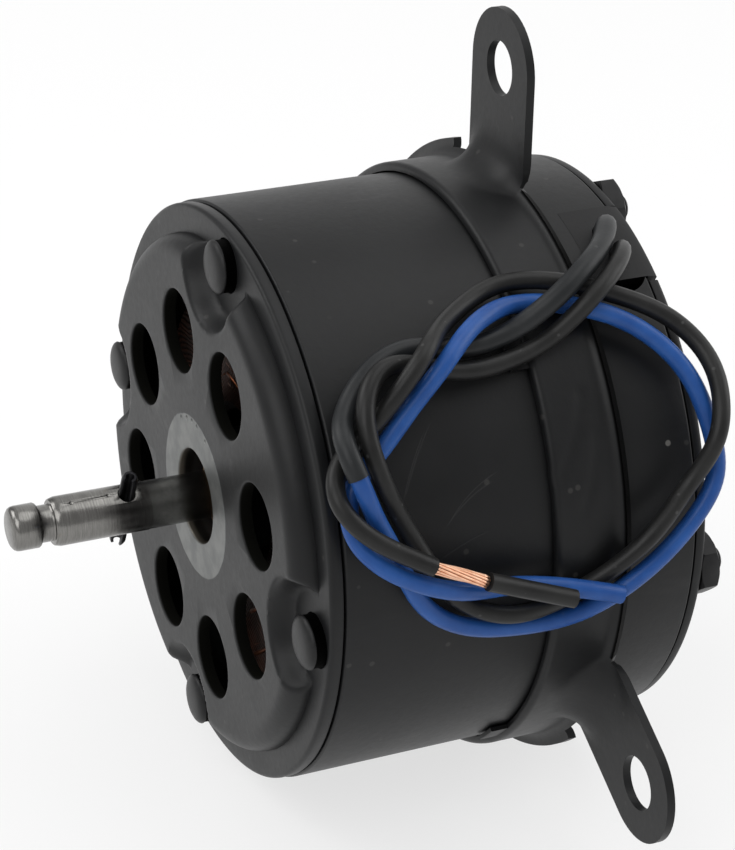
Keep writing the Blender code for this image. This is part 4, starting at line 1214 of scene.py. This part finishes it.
def make_pin(material):
    """A slotted spring pin, rolled from sheet, with its slot towards the front."""
    spots = []
    for k in range(33):
        a = math.radians(PIN_SLOT + (360.0 - 2.0 * PIN_SLOT) * k / 32)
        spots.append(Vector((PIN_R * math.cos(a), PIN_R * math.sin(a), -PIN_HALF)) * MM)
    pin = drawn("roll_pin", spots)
    bpy.ops.mesh.select_all(action="SELECT")
    bpy.ops.mesh.extrude_region_move(TRANSFORM_OT_translate={"value": (0, 0, 2 * PIN_HALF * MM)})
    tidy(pin)
    probe = pin.data.polygons[0]
    offset = -1.0 if probe.normal.dot(probe.center.xy.to_3d()) > 0 else 1.0
    apply_modifier(pin, "SOLIDIFY", thickness=PIN_SHEET * MM, offset=offset)
    for side in (-1, 1):
        edit(pin)
        pick(pin, lambda v: v.co.z * side > (PIN_HALF - 0.01) * MM, "VERT")
        bpy.ops.transform.resize(value=(0.82, 0.82, 1.0), center_override=(0, 0, 0))
    ring = (PIN_HALF - 0.7) * MM
    for side in (-1, 1):
        bpy.ops.mesh.select_all(action="SELECT")
        bpy.ops.mesh.bisect(plane_co=(0, 0, side * ring), plane_no=(0, 0, 1))
    only(pin)
    for vert in pin.data.vertices:
        if abs(abs(vert.co.z) - ring) < 1e-6:
            radius = vert.co.xy.length
            near = PIN_R if radius > (PIN_R - PIN_SHEET / 2) * 0.97 * MM else PIN_R - PIN_SHEET
            vert.co.x *= near * MM / radius
            vert.co.y *= near * MM / radius
    turn = Matrix.Rotation(math.radians(-38.0), 4, "Z")
    at_angle(settle(pin, turn), PIN_ANGLE, 0.0, PIN_Y)
    soften(pin, 0.06, 35.0, 2)
    return dress(pin, material, "rotor", ["spring_pin"])


def make_winding_wires(material):
    """Enamelled wires of the twelve coils where they cross over the front of the core."""
    rng = random.Random(11)
    lines = []
    for slot in range(CORE_SLOTS):
        for k in range(15):
            row, layer = k % 8, k // 8
            radius = COIL_FIRST_R + row * COIL_ROW + rng.uniform(-0.3, 0.3)
            rise = COIL_TOP - layer * COIL_LAYER - 0.9 * (slot % 2) + rng.uniform(-0.25, 0.25)
            line = []
            for j in range(COIL_STEPS + 1):
                t = j / COIL_STEPS
                lift = min(1.0, 6.0 * min(t, 1.0 - t))
                lift = lift * lift * (3.0 - 2.0 * lift)
                dip = math.sin(math.pi * t)
                r = max(radius * (1.0 - 0.16 * dip), COIL_IN_R)
                angle = slot * SLOT_PITCH + COIL_SPAN * SLOT_PITCH * t
                line.append(polar(r, angle, CORE_FRONT + (rise - CORE_FRONT) * lift + 0.5 * dip))
            lines.append(line)
    coils = tidy(as_mesh(wires("coil_wires", lines, 0.42, 1)))
    bpy.ops.object.shade_smooth()
    return dress(coils, material, "rotor", ())


# ---- light and floor ----

def add_area(name, place, size, power, target=(0, 0, 0)):
    """A soft rectangular lamp that looks at the target."""
    data = bpy.data.lights.new(name, "AREA")
    data.shape = "RECTANGLE"
    data.size, data.size_y = size
    data.energy = power
    lamp = bpy.data.objects.new(name, data)
    lamp.location = place
    lamp.rotation_euler = (Vector(target) - Vector(place)).to_track_quat("-Z", "Y").to_euler()
    bpy.context.scene.collection.objects.link(lamp)


def add_world():
    """White for the camera. For the object it fades towards the camera and to one side of the front."""
    world = bpy.data.worlds.new("studio")
    bpy.context.scene.world = world
    world.use_nodes = True
    nodes = Nodes(world.node_tree)
    place = nodes.add("TexCoord", output="Generated")

    def fade(towards, low, high, last):
        dot = nodes.add("VectorMath", {0: place, 1: Vector(towards).normalized()},
                        {"operation": "DOT_PRODUCT"}, output="Value")
        return nodes.add("MapRange", {"Value": dot, "From Min": low, "From Max": high, "To Min": 1.0,
                                      "To Max": last}, {"interpolation_type": "SMOOTHSTEP"})

    level = fade((0.80, -0.30, 0.52), -0.35, 0.75, 0.5) * fade((-0.85, -0.45, 0.30), 0.70, 0.96, 0.35)
    sky = nodes.add("Background", {"Color": (0.95, 0.95, 0.95, 1.0), "Strength": level})
    white = nodes.add("Background", {"Color": (1.0, 1.0, 1.0, 1.0)})
    ray = nodes.add("LightPath", output="Is Camera Ray")
    shown = nodes.add("MixShader", {0: ray, 1: sky, 2: white})
    nodes.feed(nodes.tree.nodes["World Output"].inputs["Surface"], shown)


def add_floor(height):
    """A pale round floor, whiter where the camera and reflections see it. It keeps the shadow."""
    only(None)
    bpy.ops.mesh.primitive_circle_add(vertices=96, radius=3.0, fill_type="NGON", location=(0, 0, height))
    floor = settle(bpy.context.object)
    floor.name = "floor"
    f = Finish("floor_white", Base_Color=(0.86, 0.86, 0.86, 1.0), Roughness=0.9, Specular_IOR_Level=0.1)
    glow = f.add("Emission", {"Color": (1, 1, 1, 1), "Strength": 1.0})
    mirror = f.add("LightPath", output="Is Glossy Ray")
    seen = f.add("LightPath", output="Is Camera Ray").most(mirror) * 0.7
    shown = f.add("MixShader", {0: seen, 1: Wire(f, f.shader.outputs[0]), 2: glow})
    f.feed(f.tree.nodes["Material Output"].inputs["Surface"], shown)
    floor.data.materials.append(f.mat)
    floor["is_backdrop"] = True


def dress_nodes(enamel):
    """Finishes for the CAD nodes that stay."""
    steel = ground_steel()
    bronze = plain_grain("sintered_bronze", (0.24, 0.15, 0.08), (0.40, 0.26, 0.14), 0.45, 0.85, 0.5)
    brass = dark_metal("holder_brass", (0.45, 0.30, 0.12), (0.62, 0.44, 0.20), 0.35, 0.8, 1.0)
    spring = dark_metal("spring_steel", (0.25, 0.25, 0.25), (0.45, 0.45, 0.45), 0.3, 0.5, 1.0)
    nylon = plain_grain("washer_nylon", (0.55, 0.53, 0.46), (0.68, 0.66, 0.58), 0.5)
    ferrite = plain_grain("ferrite", (0.05, 0.05, 0.055), (0.10, 0.10, 0.105), 0.6)
    board = plain_grain("card_board", (0.22, 0.11, 0.05), (0.36, 0.20, 0.10), 0.55)
    carbon = plain_grain("brush_carbon", (0.02, 0.02, 0.02), (0.05, 0.05, 0.05), 0.45)
    for material, *names in (
            (steel_sheets(), "armature_core"), (shaded_wound_copper(), "windings"), (enamel, "commutator"),
            (bronze, "front_bushing", "rear_bushing"), (steel, "front_retainer", "rear_retainer"),
            (nylon, "front_washer", "rear_washer"), (ferrite, *("magnet_%d" % k for k in range(1, 5))),
            (board, "brush_card"), (brass, "brush_holder_1", "brush_holder_2"),
            (carbon, "brush_1", "brush_2"), (spring, "brush_spring_1", "brush_spring_2")):
        for name in names:
            mesh = NODES[name].data
            mesh.materials.clear()
            mesh.materials.append(material)


def main():
    bpy.context.scene.view_settings.view_transform = "Standard"
    add_camera()
    add_leads()
    can_paint = black_paint("can_paint", CAN_SCRATCHES, CAN_NICKS)
    # The cap's paint carries painted shade in the bearing bore and on the vent walls.
    make_cap(black_paint("cap_paint", bare=bare_ring_and_hole_shade))
    make_can(can_paint)
    make_rear_cap(black_paint("rear_paint"))
    # The strap's paint carries painted shade at the cut end of the bend.
    make_strap(black_paint("strap_paint", bare=painted_shade_cut_edge))
    # The bolts' sides under the head rims are painted near black: painted shade.
    make_bolts(dark_metal("bolt_black", (0.007, 0.007, 0.0075), (0.014, 0.014, 0.0145), 0.42, 0.9, 0.1,
                          (CAP_RIM_Y - 1.7, CAP_RIM_Y + 0.5)))
    make_hood(plain_grain("hood_rubber", (0.0055, 0.0055, 0.006), (0.0095, 0.0095, 0.010), 0.60, grain=1.4))
    make_shaft(ground_steel())
    make_pin(dark_metal("pin_black", (0.012, 0.012, 0.013), (0.030, 0.030, 0.033), 0.34, 0.6, 0.8))
    enamel = copper_wire("enamelled_copper", (0.10, 0.034, 0.015), (0.18, 0.065, 0.030), 0.38)
    make_winding_wires(enamel)
    dress_nodes(enamel)
    add_floor(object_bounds()[0][2] - FLOOR_GAP * MM)
    add_world()
    add_area("key", (-0.55, -0.75, 0.75), (0.7, 0.7), 4.5, target=(0, -0.02, 0))
    add_area("top", (0.10, 0.25, 1.0), (0.9, 0.6), 2.5)
    add_area("fill", (0.45, -0.75, 0.75), (0.8, 0.8), 4.5)
    add_area("rear", (0.25, 0.95, 0.50), (0.7, 0.7), 3.0)


main()
